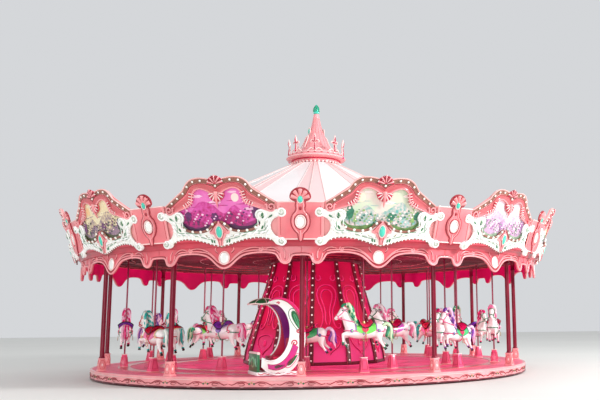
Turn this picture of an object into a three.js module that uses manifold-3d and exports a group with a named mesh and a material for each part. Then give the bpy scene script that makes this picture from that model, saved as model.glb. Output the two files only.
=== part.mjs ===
// A fairground carousel with twelve bays: a turning platform, roof and cornice round a fixed centre column.
// Millimetres, +Z up, ground at z = 0. Azimuths are in degrees from -Y, where one pilaster stands,
// towards +X.
import * as THREE from "three";
import { mergeVertices } from "three/addons/utils/BufferGeometryUtils.js";
import Module from "manifold-3d";

// Plan
const bays = 12;
const bayAngle = 360 / bays;
const seam = 0.3; // gap between pieces that rest on each other

// Base and centre column
const baseRadius = 2400;
const baseHeight = 100;
const footRadius = 620;
const footHeight = 60;
const mastRadius = 230;
const bearingTop = 5240; // top of the fixed column's bearing flange
const bearingRadius = 380;
const flangeHeight = 90;

// Hub and rafters of the roof
const hubRadius = 420;
const hubHeight = 285;
const armDepth = 120;
const rafterInner = 950;
const rafterWidth = 90;
const rafterDepth = 110;

// Roof, ridged at each pilaster
const roofTopRadius = 700;
const roofTop = 5705;
const roofMouth = 600; // inner edge of the flat ring at the roof's top
const roofRim = 6010;
const roofSlope = 0.5;
const roofThickness = 18;
const quarters = 4;
const ceilingHeight = 2975; // underside of the ceiling boards
const ceilingThickness = 22;
const ceilingRim = 5930;
const ceilingHole = 1080;
const poleSlot = 46; // half width of the slots that the poles run in
const ribInner = 1300;
const ribOuter = 5750;
const ribWidth = 70;
const ribDepth = 60;

// Platform
const deckRadius = 5640;
const deckTop = 250;
const deckThickness = 120;
const deckHole = 1500;
const fasciaRadius = 5690;
const fasciaBottom = 30;
const nosingDepth = 45; // edge strip at the top of the fascia

// Centre drum, flared towards the deck
const drumWall = 30;
const drumProfile = [
  [1890, deckTop],
  [1805, 800],
  [1640, 1300],
  [1450, 1900],
  [1285, 2450],
  [1165, ceilingHeight],
]; // corner radius and height
const lightStripWidth = 130;
const lightStripThickness = 26;
const drumCollarHeight = 60;

// Columns at the pilasters
const columnRing = 5560;
const columnRadius = 58;
const pedestalTop = 550;
const pedestalFoot = 85; // half widths
const pedestalHead = 68;
const columnSocket = 60; // how far the shaft stands in its pedestal

// Cornice
const valanceRadius = 6000;
const valanceThickness = 36;
const valanceTop = 2960;
const railInner = 5955;
const railOuter = 6190;
const coveInner = 6014; // clear of the valance's corners
const coveBottom = 2850;
const coveLip = 22;
const corniceRadius = 6160; // outer face of the picture panels at the cornice foot
const corniceLean = 0.33; // outward run for each unit of height
const panelThickness = 28;
const reliefThickness = 30;
const archOverhang = 15; // height of the arches above the panels behind them
const shieldThickness = 30;
const cartoucheRelief = 30;
const panelHalf = 10.8; // degrees from the bay's centre to the pilaster's edge

// Crown, cone and finial
const crownPoints = 8;
const crownSides = 24;
const crownBore = 520;
const crownHeight = 395;
const coneTop = 7225;
const finialHeight = 300;

// Horses on poles
const outerRow = 4900;
const innerRow = 3900;
const poleRadius = 22;
const guideBore = poleRadius + seam;
const guideHeight = 330;
const guideFoot = 100; // half widths
const guideHead = 60;
const guideSole = 30; // solid foot of a guide, under its bore
const guideRingWidth = 300;
const guideRingThickness = 10;
const horseHeight = 1190; // height of the saddle's seat at mid stroke
const crankOffset = 50; // rest height above or below mid stroke
const poleTop = 3160; // at mid stroke
const poleFoot = 405; // at mid stroke

// Chariots
const chariotAzimuths = [-7.5, 172.5];
const chariotYaw = 27; // turned outwards, towards the platform's edge
const chariotWidth = 860;
const chariotSide = 45; // thickness of its two crescents
const chariotSeat = 330;
const chariotTop = 1520; // crown of the awning's rim

const wasm = await Module();
wasm.setup();

// Joining and cutting

function solidFrom(points, faces) {
  const make = (triangles) =>
    new wasm.Manifold(
      new wasm.Mesh({
        numProp: 3,
        vertProperties: new Float32Array(points.flatMap((p) => [p.x, p.y, p.z])),
        triVerts: new Uint32Array(triangles),
      }),
    );
  const solid = make(faces);
  return solid.volume() > 0 ? solid : make([...faces].reverse());
}

function solidOf(geometry) {
  const bare = geometry.index ? geometry.toNonIndexed() : geometry.clone();
  bare.deleteAttribute("normal");
  bare.deleteAttribute("uv");
  const merged = mergeVertices(bare, 1e-3);
  const place = merged.getAttribute("position");
  const points = [];
  for (let i = 0; i < place.count; i++) {
    points.push(new THREE.Vector3().fromBufferAttribute(place, i));
  }
  return solidFrom(points, [...merged.index.array]);
}

function join(solids) {
  return solids.reduce((all, solid) => all.add(solid));
}

function geometryOf(solid) {
  const made = solid.getMesh();
  const geometry = new THREE.BufferGeometry();
  geometry.setAttribute("position", new THREE.BufferAttribute(made.vertProperties, 3));
  geometry.setIndex(new THREE.BufferAttribute(made.triVerts, 1));
  geometry.computeVertexNormals();
  return geometry;
}

// Shapes

function radians(degrees) {
  return THREE.MathUtils.degToRad(degrees);
}

function polar(radius, azimuth, z) {
  const turn = radians(azimuth);
  return new THREE.Vector3(radius * Math.sin(turn), -radius * Math.cos(turn), z);
}

// Rings of points with the same count, skinned from one to the next. A closed loft joins its last ring to
// its first.
function loft(rings, closed = false) {
  const sides = rings[0].length;
  const faces = [];
  const spans = closed ? rings.length : rings.length - 1;
  for (let i = 0; i < spans; i++) {
    const here = i * sides;
    const next = ((i + 1) % rings.length) * sides;
    for (let j = 0; j < sides; j++) {
      const k = (j + 1) % sides;
      faces.push(here + j, here + k, next + k, here + j, next + k, next + j);
    }
  }
  if (!closed) {
    const last = (rings.length - 1) * sides;
    for (let j = 1; j < sides - 1; j++) {
      faces.push(0, j + 1, j, last, last + j, last + j + 1);
    }
  }
  return solidFrom(rings.flat(), faces);
}

// A wall round the axis. Each column gives an azimuth, a low and a high edge and how far its face stands
// proud. The radii are functions of height.
function curtain(columns, inner, outer, closed = true) {
  const rings = columns.map(({ azimuth, low, high, proud = 0 }) => [
    polar(inner(low), azimuth, low),
    polar(outer(low) + proud, azimuth, low),
    polar(outer(high) + proud, azimuth, high),
    polar(inner(high), azimuth, high),
  ]);
  return loft(rings, closed);
}

// Repeats one bay's columns round the ring. Offsets run from one bay's centre to the next.
function ringOfBays(bayColumns) {
  const columns = [];
  for (let bay = 0; bay < bays; bay++) {
    for (const column of bayColumns) {
      columns.push({ ...column, azimuth: bay * bayAngle + bayAngle / 2 + column.azimuth });
    }
  }
  return columns;
}

// A profile of [radius, height] turned about the axis.
function turned(profile, segments) {
  const outline = profile.map(([radius, z]) => new THREE.Vector2(radius, z));
  const closes = profile[0][0] > 0;
  if (closes) {
    outline.push(outline[0].clone());
  }
  const geometry = new THREE.LatheGeometry(outline, segments);
  geometry.rotateX(Math.PI / 2);
  return solidOf(geometry);
}

function box(sizeX, sizeY, sizeZ, x, y, z) {
  return solidOf(new THREE.BoxGeometry(sizeX, sizeY, sizeZ).translate(x, y, z));
}

// A square post that tapers from its foot to its head, by half widths.
function taperedPost(foot, head, low, high) {
  const square = (half, z) => [
    new THREE.Vector3(-half, -half, z),
    new THREE.Vector3(half, -half, z),
    new THREE.Vector3(half, half, z),
    new THREE.Vector3(-half, half, z),
  ];
  return loft([square(foot, low), square(head, high)]);
}

// A limb in the XZ plane: stations of [x, y, z, half depth, half width], with the rings square to the path.
function limb(stations, sides) {
  const centres = stations.map(([x, y, z]) => new THREE.Vector3(x, y, z));
  const across = new THREE.Vector3(0, 1, 0);
  const rings = stations.map(([, , , depth, width], i) => {
    const before = centres[Math.max(i - 1, 0)];
    const after = centres[Math.min(i + 1, centres.length - 1)];
    const along = after.clone().sub(before).normalize();
    const up = new THREE.Vector3().crossVectors(along, across).normalize();
    const ring = [];
    for (let j = 0; j < sides; j++) {
      const turn = ((j + 0.5) / sides) * 2 * Math.PI;
      ring.push(
        centres[i]
          .clone()
          .addScaledVector(up, depth * Math.cos(turn))
          .addScaledVector(across, width * Math.sin(turn)),
      );
    }
    return ring;
  });
  return loft(rings);
}

function turnedAbout(solid, azimuth) {
  return solid.rotate([0, 0, azimuth]);
}

function roundTheRing(solid, count = bays, first = 0) {
  const copies = [];
  for (let i = 0; i < count; i++) {
    copies.push(turnedAbout(solid, first + (i * 360) / count));
  }
  return copies;
}

// Rows of [offset, low, high] for half a bay, mirrored about the bay's centre. The last row is a pilaster's
// middle.
function mirroredColumns(rows) {
  const across = rows.slice(0, -1).filter(([offset]) => offset > 0);
  const before = across.map(([offset, low, high]) => [-offset, low, high]).reverse();
  return [...before, ...rows].map(([azimuth, low, high]) => ({ azimuth, low, high }));
}

// Materials

function finish(color, roughness, metalness = 0) {
  return new THREE.MeshStandardMaterial({ color, roughness, metalness });
}

const finishes = {
  steel: finish(0x5a4a4c, 0.5, 0.6),
  salmon: finish(0xe8808a, 0.45),
  palePink: finish(0xf3c4c4, 0.5),
  white: finish(0xf4efe9, 0.4),
  picture: finish(0xb86aa0, 0.55),
  channel: finish(0x5a3a2c, 0.5),
  crimson: finish(0xc3123f, 0.45),
  maroon: finish(0x4a0f1c, 0.45),
  hotPink: finish(0xe62a72, 0.45),
  deck: finish(0xb45a68, 0.6),
  green: finish(0x2f9d72, 0.35),
  horse: finish(0xf2e6e4, 0.35),
};

// Base and centre column

function basePlate() {
  return turned([[0, 0], [baseRadius, 0], [baseRadius, baseHeight], [0, baseHeight]], bays);
}

function centreColumn() {
  const foot = baseHeight + seam;
  return turned(
    [
      [0, foot],
      [footRadius, foot],
      [footRadius, foot + footHeight],
      [mastRadius, foot + footHeight],
      [mastRadius, bearingTop - flangeHeight],
      [bearingRadius, bearingTop - flangeHeight],
      [bearingRadius, bearingTop],
      [0, bearingTop],
    ],
    16,
  );
}

// Roof

function roofHeight(radius) {
  return roofTop - roofSlope * (radius - roofTopRadius);
}

const roofUnder = roofThickness / Math.cos(Math.atan(roofSlope));
const railTop = roofHeight(roofRim) - roofUnder - seam;
const corniceFoot = railTop + seam;

function sweepFrame() {
  const hubLow = bearingTop + seam;
  const hub = turned(
    [[0, hubLow], [hubRadius, hubLow], [hubRadius, hubLow + hubHeight], [0, hubLow + hubHeight]],
    bays,
  );
  const headroom = roofUnder + rafterWidth * 0.07 + seam;
  const rafterAt = (radius) => {
    const top = roofHeight(radius) - headroom;
    return [
      new THREE.Vector3(-rafterWidth / 2, -radius, top - rafterDepth),
      new THREE.Vector3(rafterWidth / 2, -radius, top - rafterDepth),
      new THREE.Vector3(rafterWidth / 2, -radius, top),
      new THREE.Vector3(-rafterWidth / 2, -radius, top),
    ];
  };
  const lowestTop = ceilingHeight + ceilingThickness + seam + rafterDepth;
  const rafterEnd = roofTopRadius + (roofTop - headroom - lowestTop) / roofSlope;
  const rafter = loft([rafterAt(rafterInner), rafterAt(rafterEnd)]);
  const armEnd = rafterInner + 30;
  const armRoot = hubRadius / 2;
  const arm = box(rafterWidth, armEnd - armRoot, armDepth, 0, -(armEnd + armRoot) / 2,
    hubLow + hubHeight - 15 - armDepth / 2);
  return join([hub, ...roundTheRing(rafter), ...roundTheRing(arm)]);
}

// The roof in quarters that meet along four of its ridges.
function roofQuarters() {
  const cover = turned(
    [
      [roofMouth, roofHeight(roofTopRadius) - roofUnder],
      [roofTopRadius, roofHeight(roofTopRadius) - roofUnder],
      [roofRim, roofHeight(roofRim) - roofUnder],
      [roofRim, roofHeight(roofRim)],
      [roofTopRadius, roofHeight(roofTopRadius)],
      [roofMouth, roofHeight(roofTopRadius)],
    ],
    bays,
  );
  const reach = roofRim + 100;
  const middle = (reach + seam) / 2;
  const corner = box(reach, reach, reach, middle, -middle, roofTop);
  return Array.from({ length: quarters }, (_, i) => cover.intersect(turnedAbout(corner, (i * 360) / quarters)));
}

// Boards in rings, with a slot for each row of poles, joined by ribs that lie on them.
function ceilingBoards() {
  const edges = [
    [ceilingHole, innerRow - poleSlot],
    [innerRow + poleSlot, outerRow - poleSlot],
    [outerRow + poleSlot, ceilingRim],
  ];
  const low = ceilingHeight;
  const high = ceilingHeight + ceilingThickness;
  const boards = edges.map(([inner, outer]) =>
    turned([[inner, low], [outer, low], [outer, high], [inner, high]], bays * 2),
  );
  const ribOverlap = 10;
  const rib = box(
    ribWidth,
    ribOuter - ribInner,
    ribDepth,
    0,
    -(ribInner + ribOuter) / 2,
    high + ribDepth / 2 - ribOverlap,
  );
  return join([...boards, ...roundTheRing(rib, bays / 2, bayAngle / 4)]);
}

// A moulded ring with flat fleurs, each a stem with a pair of arms.
function crown() {
  const band = turned(
    [
      [crownBore, roofTop + seam],
      [690, roofTop + seam],
      [690, 5765],
      [655, 5790],
      [700, 5835],
      [830, 5865],
      [830, 5925],
      [770, 5950],
      [755, 5985],
      [640, 6010],
      [560, roofTop + crownHeight],
      [crownBore, roofTop + crownHeight],
    ],
    crownSides,
  );
  const flat = (half, radius, depth, z) => [
    new THREE.Vector3(-half, -radius, z),
    new THREE.Vector3(half, -radius, z),
    new THREE.Vector3(half, depth - radius, z),
    new THREE.Vector3(-half, depth - radius, z),
  ];
  const stem = loft([flat(70, 740, 70, 5940), flat(32, 745, 50, 6240), flat(10, 765, 24, 6490)]);
  const arms = box(210, 34, 46, 0, -728, 6275);
  return join([band, ...roundTheRing(stem, crownPoints), ...roundTheRing(arms, crownPoints)]);
}

function spireCone() {
  return turned(
    [
      [0, 5765],
      [crownBore - seam, 5765],
      [crownBore - seam, 6020],
      [460, 6120],
      [385, 6240],
      [335, 6360],
      [250, 6560],
      [165, 6760],
      [110, 6980],
      [78, 7150],
      [70, coneTop],
      [0, coneTop],
    ],
    crownSides,
  );
}

function finial() {
  const foot = coneTop + seam;
  return turned(
    [
      [0, foot],
      [60, foot],
      [92, foot + 45],
      [76, foot + 140],
      [36, foot + 235],
      [0, foot + finialHeight],
    ],
    10,
  );
}

// Cornice

const leanAt = (offset) => (z) => corniceRadius + (z - corniceFoot) * corniceLean + offset;

// Two humps to a bay with a crest in the valley between them: offset, lower and upper edge of the arch.
// The pieces in front and behind repeat these offsets, so that their flats lie on each other.
const archRows = [
  [0, 3718, 4218],
  [1.4, 3870, 4168],
  [3.5, 3968, 4198],
  [5.2, 3862, 4150],
  [6.6, 3727, 4000],
  [9.2, 3590, 3804],
  [panelHalf, 3504, 3704],
  [bayAngle / 2, 3495, 3632],
];

function picturePanels() {
  const rows = archRows.map(([offset, , top]) => [offset, corniceFoot, top - archOverhang]);
  return curtain(ringOfBays(mirroredColumns(rows)), leanAt(-panelThickness), leanAt(0));
}

function archBands() {
  return curtain(ringOfBays(mirroredColumns(archRows)), leanAt(seam), leanAt(reliefThickness));
}

// The frames hang over the rail, so their lower edges stand in front of its corners.
function scrollFrames() {
  const rows = [
    [0, 2830, 3300],
    [1.4, 2870, 3225],
    [3.5, 2960, 3130],
    [5.2, 3000, 3125],
    [6.6, 3025, 3145],
    [9.2, 3025, 3440],
    [panelHalf, 3060, 3500],
    [bayAngle / 2, 3060, 3120],
  ];
  const lip = railOuter + 2;
  const inner = (z) => (z < corniceFoot ? lip : leanAt(seam)(z));
  const outer = (z) => inner(z) + reliefThickness - seam;
  return curtain(ringOfBays(mirroredColumns(rows)), inner, outer);
}

// Shields over the panels' joints, each a flat with a cartouche, on the coved rail that the cornice
// stands on.
function pilasters() {
  const half = [
    [0, 2920, 3945, cartoucheRelief],
    [1.6, 2925, 3840, cartoucheRelief],
    [1.9, 2940, 3700, 0],
    [bayAngle / 2 - panelHalf, 2950, 3696, 0],
  ];
  const across = half.slice(1).map(([offset, ...rest]) => [-offset, ...rest]).reverse();
  const columns = [...across, ...half].map(([azimuth, low, high, proud]) => ({ azimuth, low, high, proud }));
  const inner = leanAt(reliefThickness + seam);
  const outer = leanAt(reliefThickness + shieldThickness);
  const shield = curtain(columns, inner, outer, false);
  const rail = turned(
    [
      [railInner, valanceTop + seam],
      [coveInner, valanceTop + seam],
      [coveInner, coveBottom],
      [coveInner + coveLip, coveBottom],
      [railOuter, valanceTop],
      [railOuter, railTop],
      [railInner, railTop],
    ],
    bays * 4,
  );
  return join([rail, ...roundTheRing(shield)]);
}

// Main drops at the bay centres, a pair of tongues at each pilaster, arches between.
function valance() {
  const lows = [
    [0, 2410],
    [1.6, 2480],
    [3.2, 2635],
    [6.0, 2712],
    [10.2, 2690],
    [11.0, 2530],
    [12.5, 2495],
    [13.3, 2655],
    [bayAngle / 2, 2660],
  ];
  const rows = lows.map(([offset, low]) => [offset, low, valanceTop]);
  return curtain(
    ringOfBays(mirroredColumns(rows)),
    () => valanceRadius - valanceThickness,
    () => valanceRadius,
  );
}

// Platform

function platformDeck() {
  const low = deckTop - deckThickness;
  return turned(
    [[deckHole, low], [deckRadius, low], [deckRadius, deckTop], [deckHole, deckTop]],
    bays * 4,
  );
}

function platformFascia() {
  const inner = deckRadius + seam;
  const face = fasciaRadius - 10;
  const nosing = fasciaRadius + 5;
  return turned(
    [
      [inner + 8, fasciaBottom],
      [face, fasciaBottom],
      [face, deckTop - nosingDepth - 10],
      [nosing, deckTop - nosingDepth],
      [nosing, deckTop],
      [inner, deckTop],
    ],
    bays * 4,
  );
}

// Centre drum

// The drum's profile moved out by an offset, a seam clear of the deck below and the ceiling above.
function drumFace(offset) {
  return drumProfile.map(([radius, z], i) => [
    radius + offset,
    i === 0 ? z + seam : i === drumProfile.length - 1 ? z - seam : z,
  ]);
}

function drumPanels() {
  const outside = drumFace(0);
  const inside = drumFace(-drumWall).reverse();
  return turned([...outside, ...inside], bays);
}

function drumLightStrips() {
  const shape = new THREE.Shape();
  const outline = [...drumFace(seam), ...drumFace(seam + lightStripThickness).reverse()];
  shape.setFromPoints(outline.map(([radius, z]) => new THREE.Vector2(radius, z)));
  const strip = new THREE.ExtrudeGeometry(shape, { depth: lightStripWidth, bevelEnabled: false });
  strip.translate(0, 0, -lightStripWidth / 2);
  // The outline's radius becomes -Y and its height becomes +Z.
  strip.applyMatrix4(
    new THREE.Matrix4().makeBasis(
      new THREE.Vector3(0, -1, 0),
      new THREE.Vector3(0, 0, 1),
      new THREE.Vector3(-1, 0, 0),
    ),
  );
  const [topRadius, top] = drumFace(16).at(-1);
  const low = top - drumCollarHeight;
  const outer = topRadius + 40;
  const collar = turned([[topRadius, low], [outer, low], [outer, top], [topRadius, top]], bays);
  return join([collar, ...roundTheRing(solidOf(strip))]);
}

// Columns

function column() {
  const low = deckTop + seam;
  const pedestal = taperedPost(pedestalFoot, pedestalHead, low, pedestalTop);
  const shaftLow = pedestalTop - columnSocket;
  const shaftTop = ceilingHeight - seam;
  const shaft = new THREE.CylinderGeometry(columnRadius, columnRadius, shaftTop - shaftLow, 8);
  shaft.rotateX(Math.PI / 2).translate(0, 0, (shaftTop + shaftLow) / 2);
  return pedestal.add(solidOf(shaft));
}

// Guides on the deck that the horses' poles run in

function poleGuides(row, azimuths) {
  const low = deckTop + seam;
  const ring = turned(
    [
      [row - guideRingWidth / 2, low],
      [row + guideRingWidth / 2, low],
      [row + guideRingWidth / 2, low + guideRingThickness],
      [row - guideRingWidth / 2, low + guideRingThickness],
    ],
    bays * 2,
  );
  const guide = taperedPost(guideFoot, guideHead, low, deckTop + guideHeight).translate([0, -row, 0]);
  const bore = new THREE.CylinderGeometry(guideBore, guideBore, guideHeight, 6);
  bore.rotateX(Math.PI / 2).translate(0, -row, deckTop + guideHeight / 2 + guideSole);
  const drilled = guide.subtract(solidOf(bore));
  return join([ring, ...azimuths.map((azimuth) => turnedAbout(drilled, azimuth))]);
}

// A jumping horse, its pole on the local Z axis, its nose towards -X.
function horse() {
  const seat = horseHeight;
  const trunk = limb(
    [
      [395, 0, seat - 70, 80, 70],
      [280, 0, seat - 115, 150, 135],
      [-210, 0, seat - 115, 150, 135],
      [-370, 0, seat + 60, 120, 85],
      [-440, 0, seat + 290, 80, 50],
      [-400, 0, seat + 420, 40, 40],
    ],
    6,
  );
  const head = limb([[-420, 0, seat + 390, 90, 60], [-625, 0, seat + 150, 45, 42]], 4);
  const tail = limb(
    [[370, 0, seat - 40, 50, 40], [500, 0, seat + 20, 70, 60], [600, 0, seat - 190, 45, 40]],
    3,
  );
  const legs = [
    [[-270, 70, seat - 140, 80, 50], [-430, 75, seat - 240, 42, 38], [-360, 75, seat - 420, 38, 36]],
    [[-270, -70, seat - 140, 80, 50], [-480, -75, seat - 170, 42, 38], [-470, -75, seat - 370, 38, 36]],
    [[310, 75, seat - 130, 90, 55], [400, 80, seat - 300, 46, 40], [520, 80, seat - 400, 40, 36]],
    [[310, -75, seat - 130, 90, 55], [340, -80, seat - 320, 46, 40], [440, -80, seat - 460, 40, 36]],
  ].map((stations) => limb(stations, 3));
  const pole = new THREE.CylinderGeometry(poleRadius, poleRadius, poleTop - poleFoot, 6);
  pole.rotateX(Math.PI / 2).translate(0, 0, (poleTop + poleFoot) / 2);
  return join([trunk, head, tail, solidOf(pole), ...legs]);
}

// A crescent chariot, its open side towards -X, on the local origin at deck height.
function chariot() {
  const shape = new THREE.Shape();
  shape.absellipse(0, 790, 560, 780, radians(112), radians(-128), true);
  shape.absellipse(-150, 880, 400, 590, radians(-118), radians(104), false);
  const plate = new THREE.ExtrudeGeometry(shape, {
    depth: chariotSide,
    bevelEnabled: false,
    curveSegments: 12,
  });
  plate.rotateX(Math.PI / 2);
  const near = solidOf(plate.clone().translate(0, chariotSide - chariotWidth / 2, 0));
  const far = solidOf(plate.clone().translate(0, chariotWidth / 2, 0));
  const inside = chariotWidth - 60;
  const plinth = box(840, chariotWidth, 70, -20, 0, 35);
  const seat = box(470, inside, chariotSeat, 150, 0, chariotSeat / 2);
  const back = limb(
    [
      [400, 0, 320, 40, inside / 2],
      [520, 0, 790, 40, inside / 2],
      [380, 0, 1260, 34, inside / 2],
      [-120, 0, 1500, 24, inside / 2],
    ],
    4,
  );
  const dash = box(60, inside, 440, -400, 0, 220);
  const awning = new THREE.CylinderGeometry(120, 330, 110, 10);
  awning.rotateX(Math.PI / 2).translate(-230, 0, chariotTop);
  return join([near, far, plinth, seat, back, dash, solidOf(awning)]);
}

// Assembly

function add(parent, name, solid, material) {
  const mesh = new THREE.Mesh(geometryOf(solid), material);
  mesh.name = name;
  parent.add(mesh);
  return mesh;
}

// Places a local piece at a radius and an azimuth, its local +Y towards the axis.
function station(parent, radius, azimuth, height) {
  const turn = new THREE.Group();
  turn.rotation.z = radians(azimuth);
  parent.add(turn);
  const place = new THREE.Group();
  place.position.set(0, -radius, height);
  turn.add(place);
  return place;
}

function numbered(name, index) {
  return name + "_" + String(index + 1).padStart(2, "0");
}

const carousel = new THREE.Group();
add(carousel, "base_plate", basePlate(), finishes.steel);
add(carousel, "centre_column", centreColumn(), finishes.steel);

add(carousel, "sweep_frame", sweepFrame(), finishes.steel);
roofQuarters().forEach((quarter, i) => {
  add(carousel, numbered("roof_cover", i), quarter, finishes.palePink);
});
add(carousel, "ceiling_boards", ceilingBoards(), finishes.maroon);
add(carousel, "crown", crown(), finishes.salmon);
add(carousel, "spire_cone", spireCone(), finishes.salmon);
add(carousel, "spire_finial", finial(), finishes.green);

add(carousel, "picture_panels", picturePanels(), finishes.picture);
add(carousel, "arch_bands", archBands(), finishes.channel);
add(carousel, "scroll_frames", scrollFrames(), finishes.white);
add(carousel, "cornice_pilasters", pilasters(), finishes.salmon);
add(carousel, "valance", valance(), finishes.salmon);

add(carousel, "platform_deck", platformDeck(), finishes.deck);
add(carousel, "platform_fascia", platformFascia(), finishes.salmon);
add(carousel, "drum_panels", drumPanels(), finishes.crimson);
add(carousel, "drum_light_strips", drumLightStrips(), finishes.maroon);

const columnSolid = column();
for (let i = 0; i < bays; i++) {
  const place = station(carousel, columnRing, i * bayAngle, 0);
  add(place, numbered("column", i), columnSolid, finishes.maroon);
}

const chariotSolid = chariot();
chariotAzimuths.forEach((azimuth, i) => {
  const place = station(carousel, outerRow, azimuth, deckTop + guideRingThickness + 2 * seam);
  place.rotation.z = radians(chariotYaw);
  add(place, numbered("chariot", i), chariotSolid, finishes.white);
});

const outerAzimuths = [];
for (let i = 0; i < bays; i++) {
  const azimuth = bayAngle / 2 + i * bayAngle;
  const halfTurn = 180;
  const angleTo = (taken) => Math.abs(((azimuth - taken + 3 * halfTurn) % (2 * halfTurn)) - halfTurn);
  if (chariotAzimuths.every((taken) => angleTo(taken) > bayAngle / 2)) {
    outerAzimuths.push(azimuth);
  }
}
const innerAzimuths = Array.from({ length: bays }, (_, i) => i * bayAngle);
add(carousel, "outer_pole_guides", poleGuides(outerRow, outerAzimuths), finishes.hotPink);
add(carousel, "inner_pole_guides", poleGuides(innerRow, innerAzimuths), finishes.hotPink);

const horseSolid = horse();
outerAzimuths.forEach((azimuth, i) => {
  const place = station(carousel, outerRow, azimuth, i % 2 ? -crankOffset : crankOffset);
  add(place, numbered("outer_horse", i), horseSolid, finishes.horse);
});
innerAzimuths.forEach((azimuth, i) => {
  const place = station(carousel, innerRow, azimuth, i % 2 ? crankOffset : -crankOffset);
  add(place, numbered("inner_horse", i), horseSolid, finishes.horse);
});

export default carousel;
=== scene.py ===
import math

import bmesh
import bpy
from mathutils import Matrix, Vector


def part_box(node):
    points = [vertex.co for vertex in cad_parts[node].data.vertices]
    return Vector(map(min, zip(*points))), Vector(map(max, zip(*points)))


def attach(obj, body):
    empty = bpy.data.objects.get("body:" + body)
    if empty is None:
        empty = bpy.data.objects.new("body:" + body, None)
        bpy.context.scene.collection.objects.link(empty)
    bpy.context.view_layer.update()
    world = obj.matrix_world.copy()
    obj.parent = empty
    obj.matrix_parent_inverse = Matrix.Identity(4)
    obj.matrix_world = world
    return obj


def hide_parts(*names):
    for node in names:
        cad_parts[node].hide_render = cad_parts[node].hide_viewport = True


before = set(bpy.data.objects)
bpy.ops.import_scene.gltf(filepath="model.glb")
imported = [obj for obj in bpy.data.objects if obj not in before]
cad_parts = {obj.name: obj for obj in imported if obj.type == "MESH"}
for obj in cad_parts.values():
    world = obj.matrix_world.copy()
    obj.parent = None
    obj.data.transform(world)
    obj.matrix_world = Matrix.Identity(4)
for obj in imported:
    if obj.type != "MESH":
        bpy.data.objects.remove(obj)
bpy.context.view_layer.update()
print("frame loaded:", len(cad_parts), "nodes")


def around(count, first=0):
    # degrees of equal steps round the axis
    return [first + 360 / count * i for i in range(count)]


def turns(count):
    # a full round in equal steps, in radians
    return [2 * math.pi * i / count for i in range(count)]


# The round layout. Azimuth 0 is -Y, where a pilaster stands, and runs towards +X.
bays = 12
bayAngle = 360 / bays
pilasterAngles = around(bays)
bayCentres = around(bays, bayAngle / 2)
flatRadius = 6.2  # the ring that the cornice's flat drawings are bent round
wallRadius = 6.16
wallLean = 0.33
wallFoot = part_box("picture_panels")[0].z
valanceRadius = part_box("valance")[1].x
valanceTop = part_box("valance")[1].z
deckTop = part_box("platform_deck")[1].z
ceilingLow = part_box("ceiling_boards")[0].z


def wallAt(z):
    return wallRadius + (z - wallFoot) * wallLean


def onRing(radius, azimuth, z):
    turn = math.radians(azimuth)
    return (radius * math.sin(turn), -radius * math.cos(turn), z)


# Tools of the bench

def pick(*objects):
    if bpy.context.object and bpy.context.object.mode != "OBJECT":
        bpy.ops.object.mode_set(mode="OBJECT")
    bpy.ops.object.select_all(action="DESELECT")
    for obj in objects:
        obj.select_set(True)
    bpy.context.view_layer.objects.active = objects[0]


def linkNew(data, name="part"):
    obj = bpy.data.objects.new(name, data)
    bpy.context.scene.collection.objects.link(obj)
    return obj


def paintWith(obj, *materials):
    slots = obj.data.materials
    for i, material in enumerate(materials):
        if i < len(slots):
            slots[i] = material
        else:
            slots.append(material)
    return obj


def weld(objects, name="part"):
    # joins pieces into the first one
    pick(*objects)
    if len(objects) > 1:
        bpy.ops.object.join()
    objects[0].name = name
    return objects[0]


def tidyMesh(obj, angle=38):
    pick(obj)
    bpy.ops.object.mode_set(mode="EDIT")
    bpy.ops.mesh.select_all(action="SELECT")
    bpy.ops.mesh.remove_doubles(threshold=0.00005)
    bpy.ops.mesh.normals_make_consistent(inside=False)
    bpy.ops.object.mode_set(mode="OBJECT")
    bpy.ops.object.shade_smooth_by_angle(angle=math.radians(angle))
    return obj


def addModifier(obj, kind, **settings):
    pick(obj)
    modifier = obj.modifiers.new(kind.lower(), kind)
    for key, value in settings.items():
        setattr(modifier, key, value)
    bpy.ops.object.modifier_apply(modifier=modifier.name)
    return obj


def smoothLine(points, steps=6, closed=False):
    # a smooth line through all the points
    count = len(points)
    line = []
    for i in range(count if closed else count - 1):
        near = [points[(i + k) % count if closed else min(max(i + k, 0), count - 1)] for k in (-1, 0, 1, 2)]
        for step in range(steps):
            t = step / steps
            line.append(tuple(
                0.5 * (2 * b + (c - a) * t + (2 * a - 5 * b + 4 * c - d) * t * t
                       + (3 * b - a - 3 * c + d) * t ** 3)
                for a, b, c, d in zip(*near)))
    return line if closed else line + [tuple(points[-1])]


def mirrorLine(half):
    # half an outline from the middle out, made whole from left to right
    return [(-x, z) for x, z in reversed(half) if x > 0] + list(half)


def tilted(place, u, v, degrees):
    # a point of a flat drawing, turned and then put at its place
    turn = math.radians(degrees)
    return (place[0] + u * math.cos(turn) - v * math.sin(turn),
            place[1] + u * math.sin(turn) + v * math.cos(turn))


def bothSides(strokes):
    # strokes and their mirror images on the other side of the middle
    return strokes + [([(-x, y, z) for x, y, z in points], *more) for points, *more in strokes]


def solidOf(curve):
    pick(linkNew(curve))
    bpy.ops.object.convert(target="MESH")
    return bpy.context.object


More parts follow.
